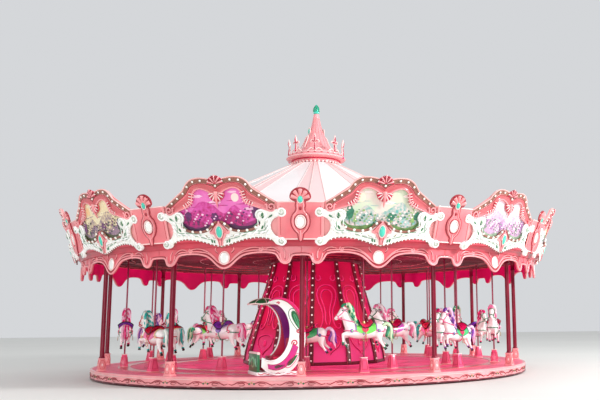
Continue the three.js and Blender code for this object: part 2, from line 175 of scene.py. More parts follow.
def rods(strokes, thickness, material, smoothness=3, round=1):
    # round bars; a stroke is (points, radii, True if it closes) and may stop after the points, and
    # a flat drawing's points are (x, -depth, z)
    data = bpy.data.curves.new("rods", "CURVE")
    data.dimensions = "3D"
    data.bevel_depth = thickness
    data.bevel_resolution = round
    data.resolution_u = smoothness
    data.use_fill_caps = True
    for points, *more in strokes:
        spline = data.splines.new("BEZIER")
        spline.bezier_points.add(len(points) - 1)
        spline.use_cyclic_u = len(more) > 1
        for i, bezier in enumerate(spline.bezier_points):
            bezier.co = points[i]
            bezier.handle_left_type = "AUTO"
            bezier.handle_right_type = "AUTO"
            bezier.radius = more[0][i] if more and more[0] else 1
    obj = solidOf(data)
    bpy.ops.object.shade_smooth()
    return paintWith(obj, material)


def plate(outlines, depth, thickness, material, bevel=0.0, strips=0):
    # flat cut shapes that stand from depth to depth + thickness off the wall
    data = bpy.data.curves.new("plate", "CURVE")
    data.dimensions = "2D"
    data.fill_mode = "BOTH"
    data.extrude = max(thickness / 2 - bevel, 0.0001)
    data.bevel_depth = bevel
    data.bevel_resolution = 1 if bevel > 0.006 else 0
    data.offset = -bevel
    for outline in outlines:
        spline = data.splines.new("POLY")
        spline.points.add(len(outline) - 1)
        spline.use_cyclic_u = True
        for point, (x, z) in zip(spline.points, outline):
            point.co = (x, z, 0, 1)
    obj = solidOf(data)
    out = depth + thickness / 2
    obj.data.transform(Matrix(((1, 0, 0, 0), (0, 0, -1, -out), (0, 1, 0, 0), (0, 0, 0, 1))))
    if strips:
        sliceUp(obj, strips)
    return paintWith(tidyMesh(obj, 30), material)


def sliceUp(obj, step):
    # cuts a wide flat mesh into upright strips, so that it bends evenly
    mesh = bmesh.new()
    mesh.from_mesh(obj.data)
    across = [vertex.co.x for vertex in mesh.verts]
    for i in range(math.ceil(min(across) / step), math.floor(max(across) / step) + 1):
        bmesh.ops.bisect_plane(mesh, geom=mesh.verts[:] + mesh.edges[:] + mesh.faces[:], dist=0.00001,
                               plane_co=(i * step, 0, 0), plane_no=(1, 0, 0))
    mesh.to_mesh(obj.data)
    mesh.free()


def fromMesh(mesh, angle):
    data = bpy.data.meshes.new("skin")
    mesh.to_mesh(data)
    mesh.free()
    return tidyMesh(linkNew(data), angle)


def skinOver(rings, angle=38, bands=None):
    # closed skin over rings of points; bands gives each side of a ring a material number
    mesh = bmesh.new()
    rows = [[mesh.verts.new(point) for point in ring] for ring in rings]
    for here, after in zip(rows, rows[1:]):
        for j in range(len(here)):
            k = (j + 1) % len(here)
            face = mesh.faces.new((here[j], here[k], after[k], after[j]))
            face.material_index = bands[j] if bands else 0
    mesh.faces.new(rows[0])
    mesh.faces.new(rows[-1][::-1])
    return fromMesh(mesh, angle)


def ribbon(outer, inner, section, bands=None):
    # a moulding between two edge lines; section is a closed loop of (share across, depth)
    return skinOver([[(ax + (bx - ax) * t, -depth, az + (bz - az) * t) for t, depth in section]
                     for (ax, az), (bx, bz) in zip(outer, inner)], bands=bands)


def loft(stations, sides):
    # a limb through stations of (x, y, z, half depth, half width)
    centres = [Vector(s[:3]) for s in stations]
    side = Vector((0, 1, 0))
    rings = []
    for i, centre in enumerate(centres):
        depth, width = stations[i][3:]
        along = (centres[min(i + 1, len(centres) - 1)] - centres[max(i - 1, 0)]).normalized()
        up = along.cross(side).normalized()
        rings.append([centre + up * depth * math.cos(a) + side * width * math.sin(a) for a in turns(sides)])
    return skinOver(rings, 60)


def spun(profile, material, steps=48, angle=38, closed=False):
    # a profile of (radius, height) turned about the axis
    points = [(radius, 0, z) for radius, z in (profile + profile[:1] if closed else profile)]
    data = bpy.data.meshes.new("profile")
    data.from_pydata(points, [(i, i + 1) for i in range(len(points) - 1)], [])
    obj = linkNew(data)
    pick(obj)
    bpy.ops.object.mode_set(mode="EDIT")
    bpy.ops.mesh.select_all(action="SELECT")
    bpy.ops.mesh.spin(steps=steps, angle=2 * math.pi, center=(0, 0, 0), axis=(0, 0, 1))
    bpy.ops.object.mode_set(mode="OBJECT")
    return paintWith(tidyMesh(obj, angle), material)


def turned(obj, degrees):
    obj.data.transform(Matrix.Rotation(math.radians(degrees), 4, "Z"))
    return obj


def moved(obj, place):
    obj.data.transform(Matrix.Translation(place))
    return obj


def twin(obj, name="part"):
    # another piece with its own mesh
    return linkNew(obj.data.copy(), name)


def copyRound(obj, angles, name="part"):
    # the same piece at each angle round the axis, in one mesh
    copies = [turned(twin(obj), angle) for angle in angles]
    bpy.data.objects.remove(obj)
    return weld(copies, name)


def mirrored(obj):
    # a second piece on the other side of the middle
    copy = twin(obj)
    copy.data.transform(Matrix.Diagonal((1, -1, 1, 1)))
    copy.data.flip_normals()
    return copy


def bendRound(obj, radiusAt=wallAt, span=None):
    # a flat drawing onto the ring at azimuth 0: x runs round it, z up, and -y stands proud. On the
    # leaning wall the drawing opens out a little with height.
    for vertex in obj.data.vertices:
        x, y, z = vertex.co
        turn = x / (span or flatRadius + 0.215 * (z - wallFoot))
        if not span and z > wallFoot:
            z = wallFoot + (z - wallFoot) * 0.974
        vertex.co = onRing(radiusAt(z) - y, math.degrees(turn), z)
    obj.data.update()
    return obj


def layFlat(obj, radiusAt):
    # a flat drawing onto an upright flat side of a many-sided drum, at azimuth 0
    for vertex in obj.data.vertices:
        vertex.co.y -= radiusAt(vertex.co.z)
    obj.data.update()
    return obj


def follow(points):
    # a function that reads (height, value) pairs in between
    def at(z):
        for (a, u), (b, v) in zip(points, points[1:]):
            if z <= b:
                return u + (v - u) * max(0, (z - a)) / (b - a)
        return points[-1][1]
    return at


def station(obj, radius, azimuth, height=0):
    # moves a mesh made at the local origin to its place on the turntable
    place = Matrix.Rotation(math.radians(azimuth), 4, "Z") @ Matrix.Translation((0, -radius, height))
    obj.data.transform(place)
    return obj


def eased(obj, bevel, material):
    return paintWith(tidyMesh(addModifier(obj, "BEVEL", width=bevel, segments=2), 40), material)


def block(size, place, bevel, material):
    # an upright box with eased edges
    bpy.ops.mesh.primitive_cube_add(size=1)
    obj = bpy.context.object
    obj.data.transform(Matrix.Translation(place) @ Matrix.Diagonal((*size, 1)))
    return eased(obj, bevel, material)


def taperedBox(foot, head, low, high, material):
    # a square post, foot and head in half widths
    bpy.ops.mesh.primitive_cube_add(size=2)
    obj = bpy.context.object
    for vertex in obj.data.vertices:
        half, z = (head, high) if vertex.co.z > 0 else (foot, low)
        vertex.co = (vertex.co.x * half, vertex.co.y * half, z)
    return eased(obj, 0.008, material)


def ball(place, radius, material, squash=(1, 1, 1), segments=10, rings=6):
    bpy.ops.mesh.primitive_uv_sphere_add(segments=segments, ring_count=rings, radius=radius)
    obj = bpy.context.object
    obj.data.transform(Matrix.Translation(place) @ Matrix.Diagonal((*squash, 1)))
    bpy.ops.object.shade_smooth()
    return paintWith(obj, material)


def ovalBoss(centre, halfWidth, halfHeight, depth, rise, material):
    # a domed oval on a flat drawing
    return ball((centre[0], -depth, centre[1]), 1, material, (halfWidth, rise, halfHeight), 16, 8)


def ovalRing(centre, halfWidth, halfHeight, depth, thickness, material):
    x, z = centre
    path = [(x + halfWidth * math.cos(a), -depth, z + halfHeight * math.sin(a)) for a in turns(10)]
    return rods([(path, None, True)], thickness, material)


def settle(obj, body, slot, *nodes):
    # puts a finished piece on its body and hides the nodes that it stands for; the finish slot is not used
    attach(obj, body)
    if nodes:
        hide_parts(*nodes)
    return obj


# Finishes

def srgb(red, green, blue):
    def linear(value):
        value /= 255
        return value / 12.92 if value <= 0.04045 else ((value + 0.055) / 1.055) ** 2.4
    return (linear(red), linear(green), linear(blue), 1)


def shade(color, factor):
    return tuple(min(1, c * factor) for c in color[:3]) + (1,)


def wire(node, sockets):
    # gives each socket a value of its own or another node's result
    for key, value in sockets.items():
        if isinstance(value, bpy.types.NodeSocket):
            node.id_data.links.new(value, node.inputs[key])
        else:
            node.inputs[key].default_value = value
    return node


def addNode(material, kind, sockets={}):
    return wire(material.node_tree.nodes.new("ShaderNode" + kind), sockets)


def objectPlace(material):
    place = addNode(material, "TexCoord").outputs["Object"]
    return addNode(material, "SeparateXYZ", {"Vector": place}).outputs


def reckon(material, operation, *values):
    # a sum in the material, of numbers and of other nodes' results
    node = addNode(material, "Math", dict(enumerate(values)))
    node.operation = operation
    return node.outputs[0]


def fadeTo(material, value, start, end, color):
    # lays a second color over the paint where the value runs from start to end
    shader = material.node_tree.nodes["Principled BSDF"]
    under = shader.inputs["Base Color"].links[0].from_socket
    share = addNode(material, "MapRange", {"From Min": start, "From Max": end, "Value": value})
    mix = addNode(material, "Mix")
    mix.data_type = "RGBA"
    wire(mix, {0: share.outputs["Result"], 6: under, 7: color})
    wire(shader, {"Base Color": mix.outputs[2]})
    return material


def paint(name, color, rough=0.34, vary=0.12, patch=2.2, bump=0.06, grain=60, coat=0.3, metal=0.0,
          edgeHighlight=None, second=None, shine=0.5):
    # brushed and sprayed paint: slow patches of tone, a fine ripple and, if asked, a lighter or darker colour
    # on sharp edges, which the finishes here use as painted highlight
    material = bpy.data.materials.new(name)
    material.use_nodes = True
    place = addNode(material, "TexCoord").outputs["Object"]
    slow = addNode(material, "TexNoise", {"Scale": patch, "Detail": 5, "Vector": place}).outputs["Fac"]
    tone = addNode(material, "ValToRGB", {"Fac": slow})
    dark, light = tone.color_ramp.elements
    dark.position = 0.32
    dark.color = shade(color, 1 - vary)
    light.position = 0.68
    light.color = second or shade(color, 1 + vary)
    gloss = addNode(material, "MapRange", {
        "To Min": max(rough - 0.08, 0.03), "To Max": rough + 0.1, "Value": slow})
    fine = addNode(material, "TexNoise", {"Scale": grain, "Detail": 3, "Vector": place})
    ripple = addNode(material, "Bump", {"Strength": bump, "Distance": 0.004, "Height": fine.outputs["Fac"]})
    wire(material.node_tree.nodes["Principled BSDF"], {
        "Base Color": tone.outputs["Color"], "Metallic": metal, "Specular IOR Level": shine,
        "Roughness": gloss.outputs["Result"], "Coat Weight": coat, "Coat Roughness": 0.12,
        "Normal": ripple.outputs["Normal"]})
    # a lighter colour on sharp convex edges: painted highlight
    if edgeHighlight:
        fadeTo(material, addNode(material, "NewGeometry").outputs["Pointiness"], 0.52, 0.62, edgeHighlight)
    return material


def dress(material, *names):
    for name in names:
        paintWith(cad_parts[name], material)


# the lighter edge colours given below are painted highlights on the edges
salmon = paint("salmon gloss", srgb(230, 104, 114), edgeHighlight=srgb(246, 168, 168))
salmonLight = paint("light salmon", srgb(242, 156, 160))
archRim = paint("arch rim", srgb(248, 186, 182))
salmonMid = paint("middle salmon", srgb(216, 88, 100), vary=0.14)
salmonDeep = paint("deep salmon", srgb(206, 84, 92), shine=0.3)
# the rail's red is a darker red, painted shade where the rail lies under the scroll frames
railShadeRed = paint("rail red", srgb(196, 58, 76), vary=0.18)
blush = paint("blush trim", srgb(250, 214, 210), vary=0.06)
white = paint("white gloss", srgb(242, 240, 233), vary=0.05, rough=0.28, edgeHighlight=srgb(255, 255, 255))
turquoise = paint("turquoise gem", srgb(64, 205, 180), rough=0.12, coat=0.8, bump=0.0)
leafGreen = paint("leaf green", srgb(26, 104, 60))
pearl = paint("pearl shade", srgb(196, 204, 184), vary=0.1)
fern = paint("fern green", srgb(86, 172, 118), vary=0.3)
sage = paint("sage shade", srgb(136, 178, 150), vary=0.3)
olive = paint("clay channel", srgb(146, 92, 76), vary=0.2, rough=0.42)
clay = paint("clay rose", srgb(204, 92, 98), vary=0.14, edgeHighlight=srgb(232, 140, 140))
oldGold = paint("old gold", srgb(178, 150, 92), metal=0.4, rough=0.3)
darkRed = paint("dark red", srgb(158, 26, 44))
crimson = paint("crimson gloss", srgb(200, 2, 66), vary=0.14, rough=0.4, coat=0.12)
darkCrimson = paint("dark crimson", srgb(142, 0, 40), vary=0.1, rough=0.4)
hotPink = paint("hot pink gloss", srgb(240, 40, 120), vary=0.12, rough=0.36, coat=0.15)
crimsonGlow = paint("crimson lining", srgb(224, 0, 92), vary=0.1, rough=0.5, coat=0.0, shine=0.15)
maroon = paint("maroon gloss", srgb(92, 8, 30), vary=0.2, rough=0.4, coat=0.1)
ceilingPaint = paint("ceiling paint", srgb(88, 2, 28), vary=0.3, rough=0.6, patch=1.2, coat=0.0, shine=0.15)
# near-white and mostly diffuse: a painted reflection of a bright sky
mirror = paint("mirror glass", srgb(250, 250, 246), rough=0.08, metal=0.25, vary=0.02, bump=0.0)
lampGlass = paint("lamp glass", srgb(255, 252, 244), rough=0.12, vary=0.02, bump=0.0, coat=0.6)
jade = paint("jade", srgb(20, 150, 112), vary=0.2, rough=0.2, bump=0.02)
darkSteel = paint("dark steel", srgb(70, 52, 54), metal=0.5, rough=0.45, vary=0.25)
columnPaint = paint("column paint", srgb(122, 2, 38), vary=0.16, rough=0.3, coat=0.1, shine=0.25)
guidePink = paint("guide pink", srgb(240, 84, 128), vary=0.16, rough=0.3)
horseWhite = paint("horse white", srgb(250, 240, 238), vary=0.05, rough=0.22, coat=0.7, patch=4,
                   second=srgb(255, 250, 248))
hoofBlack = paint("hoof black", srgb(34, 26, 28), rough=0.25)
polePaint = paint("pole paint", srgb(146, 40, 70), vary=0.15, rough=0.2, metal=0.4, coat=0.4)
violet = paint("violet lining", srgb(138, 8, 126), vary=0.2, rough=0.3, coat=0.3)
orchid = paint("orchid band", srgb(204, 44, 132), vary=0.16)


def roofPaint():
    # pale pink stripes along the ridges, white between them
    skin = paint("roof skin", srgb(246, 238, 238), vary=0.04, rough=0.4, patch=0.9)
    place = objectPlace(skin)
    turn = reckon(skin, "DIVIDE", reckon(skin, "ARCTAN2", place["X"], place["Y"]), math.radians(bayAngle))
    share = reckon(skin, "FRACT", reckon(skin, "ADD", turn, 12.5))
    off = reckon(skin, "ABSOLUTE", reckon(skin, "SUBTRACT", share, 0.5))
    return fadeTo(skin, off, 0.214, 0.206, srgb(246, 206, 206))


def drumPaint():
    # crimson painted lighter towards the deck: painted sunlight on the drum's foot
    drumSunlitFoot = paint("drum crimson", srgb(200, 0, 66), vary=0.1, rough=0.38, coat=0.15)
    return fadeTo(drumSunlitFoot, objectPlace(drumSunlitFoot)["Z"], 1.25, 0.55, srgb(232, 56, 132))


def deckPaint():
    # hot pink round the drum as painted shade under the roof, and paler further out as painted sunlight on
    # the outer ring
    deckSunAndShade = paint("deck plate", srgb(230, 66, 122), vary=0.2, rough=0.5, patch=1.4, grain=220, bump=0.25,
                   coat=0.0, shine=0.2)
    place = objectPlace(deckSunAndShade)
    squares = [reckon(deckSunAndShade, "POWER", place[axis], 2) for axis in "XY"]
    reach = reckon(deckSunAndShade, "SQRT", reckon(deckSunAndShade, "ADD", *squares))
    return fadeTo(deckSunAndShade, reach, 4.15, 4.75, srgb(240, 116, 144))


dress(roofPaint(), *[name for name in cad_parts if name.startswith("roof_cover")])
dress(salmon, "picture_panels")
dress(ceilingPaint, "ceiling_boards")
dress(darkSteel, "base_plate", "centre_column", "sweep_frame")
dress(salmonLight, "platform_fascia")
dress(deckPaint(), "platform_deck")
print("finishes done")


# The cornice: arches with lamps over the pictures

arch = {
    # the moulding's edges from the bay's middle to its foot, in metres
    "outer": [
        (0, 4.11), (0.1, 4.178), (0.22, 4.21), (0.36, 4.224), (0.5, 4.208), (0.61, 4.15), (0.685, 4.065),
        (0.745, 3.985), (0.85, 3.915), (0.995, 3.82), (1.17, 3.705)],
    "middle": [
        (0, 3.985), (0.085, 4.045), (0.2, 4.083), (0.34, 4.097), (0.46, 4.083), (0.545, 4.035),
        (0.605, 3.97), (0.665, 3.895), (0.785, 3.815), (0.935, 3.72), (1.12, 3.605)],
    "inner": [
        (0, 3.85), (0.1, 3.892), (0.19, 3.95), (0.33, 3.997), (0.445, 3.972), (0.512, 3.9), (0.535, 3.8),
        (0.57, 3.712), (0.7, 3.64), (0.87, 3.58), (1.06, 3.512)],
    # across the lamp channel with its rim, and across the cove inside it: share across, depth
    "channel": [
        (0, 0.002), (0, 0.034), (0.07, 0.047), (0.17, 0.045), (0.22, 0.026), (0.88, 0.024), (0.9, 0.042),
        (1, 0.047), (1, 0.002)],
    "channelBands": [0, 0, 0, 0, 1, 0, 0, 0, 0],
    "cove": [
        (0, 0.002), (0, 0.046), (0.08, 0.046), (0.16, 0.034), (0.4, 0.026), (0.68, 0.036), (0.8, 0.046),
        (0.94, 0.046), (1, 0.036), (1, 0.002)],
    # the cove's hollow middle takes the second colour, a darker clay rose, as painted shade
    "coveBands": [0, 0, 0, 1, 1, 1, 0, 0, 0, 0],
    "lampShare": 0.54,
    "lamps": 15,
    "lampRadius": 0.024,
}


def evenly(line, count):
    # points at even steps along a line, ends included
    lengths = [0]
    for a, b in zip(line, line[1:]):
        lengths.append(lengths[-1] + math.dist(a, b))
    points = []
    for i in range(count):
        aim = lengths[-1] * i / (count - 1)
        k = next(j for j in range(1, len(line)) if lengths[j] >= aim - 1e-9)
        t = (aim - lengths[k - 1]) / max(lengths[k] - lengths[k - 1], 1e-9)
        points.append(tuple(a + (b - a) * t for a, b in zip(line[k - 1], line[k])))
    return points


def lamps(places, radius, depth):
    # a round lamp on a small socket at each place of a flat drawing
    globe = ball((0, 0, 0), radius, lampGlass, segments=8, rings=5)
    bpy.ops.mesh.primitive_cylinder_add(vertices=8, radius=radius * 0.8, depth=radius * 1.2)
    socket = paintWith(bpy.context.object, oldGold)
    socket.data.transform(Matrix.Rotation(math.pi / 2, 4, "X"))
    lamp = weld([globe, moved(socket, (0, radius * 0.6, 0))])
    parts = [moved(twin(lamp), (x, -depth - radius * 0.5, z)) for x, z in places]
    bpy.data.objects.remove(lamp)
    return weld(parts)


def fan(centre, reach, start, end, lobes, depth, tip=0.62):
    # strokes of a shell: tapered flutes that spread from a point, start and end in degrees from +x
    strokes = []
    for i in range(lobes):
        turn = math.radians(start + (end - start) * (i + 0.5) / lobes)
        long = reach * (1 - 0.1 * abs(i - (lobes - 1) / 2) / max(lobes / 2, 1))
        strokes.append(([(centre[0] + long * t * math.cos(turn), -depth - 0.018 * math.sin(math.pi * t * 0.8),
                          centre[1] + long * t * math.sin(turn)) for t in (0.18, 0.5, 0.82, 1.0)],
                        [0.35, 0.75, 1.0, tip]))
    return strokes


def byTurns(strokes, width, pale, deep):
    # neighbouring flutes in two colors
    return [rods(strokes[::2], width, pale, 2), rods(strokes[1::2], width * 0.8, deep, 2, 0)]


def teeth(line, count, inside, outside, depth):
    # short strokes square to a line of a flat drawing
    points = evenly(line, count)
    strokes = []
    for i, (x, z) in enumerate(points):
        (ax, az), (bx, bz) = points[max(i - 1, 0)], points[min(i + 1, count - 1)]
        long = math.dist((ax, az), (bx, bz))
        u, v = (az - bz) / long, (bx - ax) / long
        strokes.append(([(x - u * inside, -depth, z - v * inside),
                         (x + u * outside, -depth - 0.006, z + v * outside)], [0.6, 1.1]))
    return strokes


def spiral(centre, radius, winds, start, depth, sweep=1, rise=0.0):
    # a scroll that winds inwards; start in degrees, sweep 1 is anticlockwise
    x, z = centre
    path = []
    for t in (i / 9 for i in range(10)):
        turn = math.radians(start) + sweep * winds * 2 * math.pi * t
        reach = radius * (1 - t) ** 0.8 * 0.92 + radius * 0.08
        path.append((x + reach * math.cos(turn), -(depth + rise * t), z + reach * math.sin(turn)))
    return path


def archMouldings():
    outer, middle, inner = [mirrorLine(smoothLine(arch[edge], 5)) for edge in ("outer", "middle", "inner")]
    channel = paintWith(ribbon(outer, middle, arch["channel"], arch["channelBands"]), archRim, olive)
    # the cove's hollow is the darker clay rose: painted shade
    cove = paintWith(ribbon(middle, inner, arch["cove"], arch["coveBands"]), salmon, clay)
    share = arch["lampShare"]
    row = [(ax + (bx - ax) * share, az + (bz - az) * share) for (ax, az), (bx, bz) in zip(outer, middle)]
    bulbs = lamps(evenly(row, arch["lamps"] + 2)[1:-1], arch["lampRadius"], 0.03)
    # scrolls that end the moulding, and the beads that lead into them
    scroll = ([(0.96, -0.045, 3.65)] + spiral((1.085, 3.6), 0.098, 1.5, 150, 0.045, 1, 0.015),
              [0.7] + [1.5 - 0.07 * i for i in range(10)])
    inset = [(x, -0.05, z) for x, z in smoothLine(arch["inner"], 2)]
    # a dark red rod between the lamp channel and the cove: painted shadow
    coveShadowLine = [(x, -0.046, z) for x, z in middle[::2]]
    pieces = [channel, cove, bulbs, rods(bothSides([scroll, (inset,)]), 0.014, salmonLight, 2),
              rods([(coveShadowLine,)], 0.009, darkRed, 1)]
    # the crest over the valley and the round pendant under it, with its tail
    halfDisc = [(math.cos(math.radians(a)), math.sin(math.radians(a))) for a in range(0, 181, 12)]
    pieces += byTurns(fan((0, 4.075), 0.178, 8, 172, 9, 0.05), 0.02, salmonLight, darkRed)
    hood = [(0.165 * x, 4.085 + 0.158 * z) for x, z in halfDisc]
    pieces.append(plate([hood], 0.03, 0.024, crimson, 0.004))
    pieces += byTurns(fan((0, 3.905), 0.18, 184, 356, 13, 0.046), 0.0165, blush, crimson)
    pendant = [(0.172 * x, 3.905 - 0.172 * z) for x, z in halfDisc]
    pieces.append(plate([pendant], 0.014, 0.026, salmonMid, 0.005))
    tail = [(0, -0.052, 3.92), (0, -0.062, 3.8), (0, -0.05, 3.7), (0, -0.03, 3.615)]
    pieces.append(rods([(tail, [2.2, 1.9, 1.0, 0.3])], 0.021, salmon))
    # striped flutes along the humps' inner feet
    foot = smoothLine(arch["inner"][5:9], 4)
    for line in (foot, [(-x, z) for x, z in reversed(foot)]):
        pieces += byTurns(teeth(line, 13, 0.036, 0.066, 0.046), 0.013, blush, crimson)
    whole = copyRound(bendRound(weld(pieces)), bayCentres, "arch_mouldings")
    return settle(whole, "turntable", "channel_paint", "arch_bands")


archMouldings()
print("arches done")


# White scroll frames under the pictures

frameCut = {
    "lower": [
        (0, 2.838), (0.07, 2.872), (0.16, 2.89), (0.27, 2.925), (0.38, 2.955), (0.5, 2.985), (0.65, 3.008),
        (0.8, 3.018), (0.92, 3.005), (1.02, 2.975), (1.08, 2.93), (1.12, 2.875), (1.2, 2.845), (1.29, 2.86),
        (1.34, 2.91), (1.325, 2.965), (1.27, 2.995), (1.19, 3.0)],
    "side": [
        (1.12, 3.05), (1.07, 3.12), (1.045, 3.2), (1.055, 3.28), (1.1, 3.35), (1.18, 3.4), (1.3, 3.425),
        (1.365, 3.49), (1.35, 3.55), (1.285, 3.578), (1.215, 3.56), (1.13, 3.545)],
    "upper": [
        (1.05, 3.53), (0.95, 3.56), (0.85, 3.545), (0.78, 3.485), (0.765, 3.415), (0.795, 3.35),
        (0.845, 3.31), (0.82, 3.24), (0.745, 3.165), (0.57, 3.12), (0.38, 3.13), (0.19, 3.195),
        (0.06, 3.29), (0, 3.312)],
    "knobs": [
        (1.282, 3.5, 0.092), (1.245, 2.925, 0.086), (1.19, 3.455, 0.055), (1.15, 2.975, 0.055),
        (0.872, 3.44, 0.122)],
    # the lamp row, and the leaves as middle, length and tilt in degrees
    "lampRow": [(0.127, 3.285), (0.245, 3.18), (0.4, 3.14), (0.575, 3.148), (0.75, 3.2)],
    "leaves": [
        (0.185, 2.955, 0.08, 78), (0.135, 2.935, 0.065, 80), (0.3, 3.055, 0.075, 20),
        (0.5, 3.072, 0.07, 10), (0.88, 3.2, 0.085, 62), (1.06, 3.42, 0.08, 30)],
    "crest": [
        (0, 3.345), (0.05, 3.3), (0.12, 3.235), (0.215, 3.14), (0.205, 3.095), (0.13, 3.075), (0.1, 3.01),
        (0.055, 2.95), (0.042, 2.86), (0, 2.822)],
    "lampRadius": 0.0288,
}


def frameScrolls():
    half = smoothLine(frameCut["lower"] + frameCut["side"] + frameCut["upper"], 2)
    # small scallops along the lower edge
    rippled = [(x, z - (0.01 * abs(math.sin(x * 26)) if 0.08 < x < 1 and z < 3.03 else 0)) for x, z in half]
    outline = rippled + [(-x, z) for x, z in reversed(rippled[1:-1])]
    body = plate([outline], 0.022, 0.036, white, 0.01, 0.24)

    # the big scroll by the arch's foot with the run that leads down from it, and the knobs' scrolls
    knobRadii = [1.1] + [1.25] * 8 + [1.5]
    strokes = [
        ([(0.55, -0.062, 3.06), (0.74, -0.064, 3.1)]
         + spiral((0.885, 3.44), 0.125, 1.45, 228, 0.062, -1, 0.02),
         [0.7, 0.9, 0.6, 1.0, 1.0, 1.0, 0.95, 0.9, 0.85, 0.8, 0.8, 0.85]),
        (spiral((1.282, 3.5), 0.09, 1.3, 200, 0.064, 1, 0.02), knobRadii),
        (spiral((1.245, 2.92), 0.084, 1.3, 120, 0.064, 1, 0.02), knobRadii)]
    # acanthus ribs up the side, and leaves that lie along the band to the middle
    for k in range(4):
        z = 3.06 + 0.085 * k
        rib = [(0.95, -0.06, z - 0.03), (0.985, -0.072, z + 0.03), (1.035 + 0.012 * k, -0.062, z + 0.05)]
        strokes.append((rib, [0.4, 1.15, 0.5]))
    for k in range(6):
        x = 0.14 + 0.135 * k
        z = 2.965 + 0.085 * math.sin(min(x, 1.0) * 1.55)
        strokes.append(([(x, -0.06, z), (x + 0.05, -0.076, z + 0.055), (x + 0.13, -0.062, z + 0.068)],
                        [0.4, 1.2, 0.5]))
    strokes.append(([(0.96, -0.062, 3.15), (1.02, -0.07, 3.26), (1.0, -0.062, 3.38)], [0.5, 1.1, 0.5]))
    lines = rods(bothSides(strokes), 0.019, white)
    knobs = [ball((side * x, -0.05, z), radius, white, (1, 0.42, 1), 12, 6)
             for side in (-1, 1) for x, z, radius in frameCut["knobs"]]

    # grooves wound into the knobs and along the band, drawn as thin pale grey and grey-green rods that are
    # painted shade
    winds = [(spiral(centre, reach, 1.25, start, 0.084, sweep, 0.02), [0.7] + [1.3] * 8 + [0.8])
             for centre, start, reach, sweep in (
                 ((1.282, 3.5), 200, 0.064, 1), ((1.245, 2.922), 120, 0.058, 1),
                 ((0.88, 3.44), 228, 0.088, -1))]
    shades = [([(x, -0.06, z + offset) for x, z in (
        (0.1, 2.93), (0.3, 2.975), (0.52, 3.03), (0.74, 3.062), (0.9, 3.06), (0.99, 3.08 + offset))],
        [0.3, 1, 1, 1, 1, 0.3]) for offset in (0.03, 0.075)]
    shades += [
        ([(0.955, -0.06, 3.14), (0.925, -0.062, 3.24), (0.985, -0.062, 3.36), (1.1, -0.06, 3.46)],
         [0.3, 1.2, 1.2, 0.3]),
        ([(0.7, -0.062, 3.215), (0.775, -0.062, 3.265), (0.815, -0.062, 3.335), (0.775, -0.062, 3.4)],
         [0.3, 1.4, 1.6, 0.3])]
    knobs.append(rods(bothSides(winds), 0.0075, pearl, 2, 0))
    knobs.append(rods(bothSides(shades), 0.0085, sage, 2, 0))

    # leaf tips under the lower edge, over a dark olive rod along that edge as painted shadow
    tips = teeth(smoothLine(frameCut["lower"][1:10], 3), 13, 0.024, 0.03, 0.044)
    knobs.append(rods(bothSides(tips), 0.02, white, 1))
    edge = [(x, -0.036, z - 0.006) for x, z in smoothLine(frameCut["lower"][:11], 2)]
    rim = rods(bothSides([(edge,)]), 0.018, olive, 1)

    row = frameCut["lampRow"]
    bed = [(0.04, -0.044, 3.335)] + [(x, -0.046, z) for x, z in row] + [(0.815, -0.044, 3.27)]
    bedRod = rods(bothSides([(bed,)]), 0.03, olive)
    bulbs = lamps(row + [(-x, z) for x, z in row], frameCut["lampRadius"], 0.066)
    pieces = [body, lines, rim, bulbs, bedRod] + knobs
    for side in (-1, 1):
        pieces.append(ball((side * 0.905, -0.084, 3.428), 0.046, leafGreen, (0.8, 0.5, 1.3)))
        for x, z, long, tilt in frameCut["leaves"]:
            turn = tilt if side > 0 else 180 - tilt
            blade = [tilted((side * x, z), 0.5 * long * math.cos(a), 0.22 * long * math.sin(a), turn)
                     for a in turns(12)]
            pieces.append(plate([blade], 0.055, 0.009, oldGold if 0.2 < x < 0.6 else leafGreen, 0.002))

    # the crest at the middle: a diamond with an oval gem
    outline = mirrorLine(frameCut["crest"])[:-1]
    crest = plate([outline], 0.056, 0.026, salmonLight, 0.008)
    inner = plate([[(x * 0.7, 3.13 + (z - 3.13) * 0.66) for x, z in outline]], 0.076, 0.014, clay, 0.004)
    creases = [([(0.022, -0.086, 3.315), (0.1, -0.086, 3.235), (0.185, -0.084, 3.14)],),
               ([(0.085, -0.088, 3.1), (0.045, -0.086, 3.0), (0.018, -0.084, 2.86)], [1, 0.8, 0.5])]
    pieces += [
        crest, inner, ovalBoss((0, 3.125), 0.062, 0.112, 0.09, 0.03, turquoise),
        ovalRing((0, 3.125), 0.07, 0.122, 0.09, 0.011, blush), rods(bothSides(creases), 0.009, darkRed)]
    whole = copyRound(bendRound(weld(pieces)), bayCentres, "scroll_work")
    return settle(whole, "turntable", "white_gloss", "scroll_frames")


frameScrolls()
print("scroll frames done")


# Pilasters between the arches, on the coved rail

shield = {
    "halfWidth": 0.452,
    "low": 2.952,
    "high": 3.708,
    "depth": 0.031,
    "thickness": 0.03,
    # the cartouche and the backing of its shell, from the middle out
    "body": [
        (0, 2.918), (0.03, 2.945), (0.042, 3.01), (0.058, 3.072), (0.12, 3.135), (0.168, 3.23),
        (0.18, 3.33), (0.155, 3.43), (0.098, 3.5), (0.078, 3.56), (0.09, 3.62), (0.085, 3.69),
        (0.15, 3.735), (0.178, 3.8), (0.172, 3.87), (0.125, 3.925), (0.062, 3.955), (0, 3.972)],
    "shellBack": [(0, 3.7), (0.12, 3.7), (0.205, 3.765), (0.185, 3.875), (0.098, 3.955), (0, 3.974)],
    "rail": [(6.188, 2.962), (6.19, 2.985), (6.186, 3.012), (6.176, 3.0285), (5.955, 3.0285)],
}


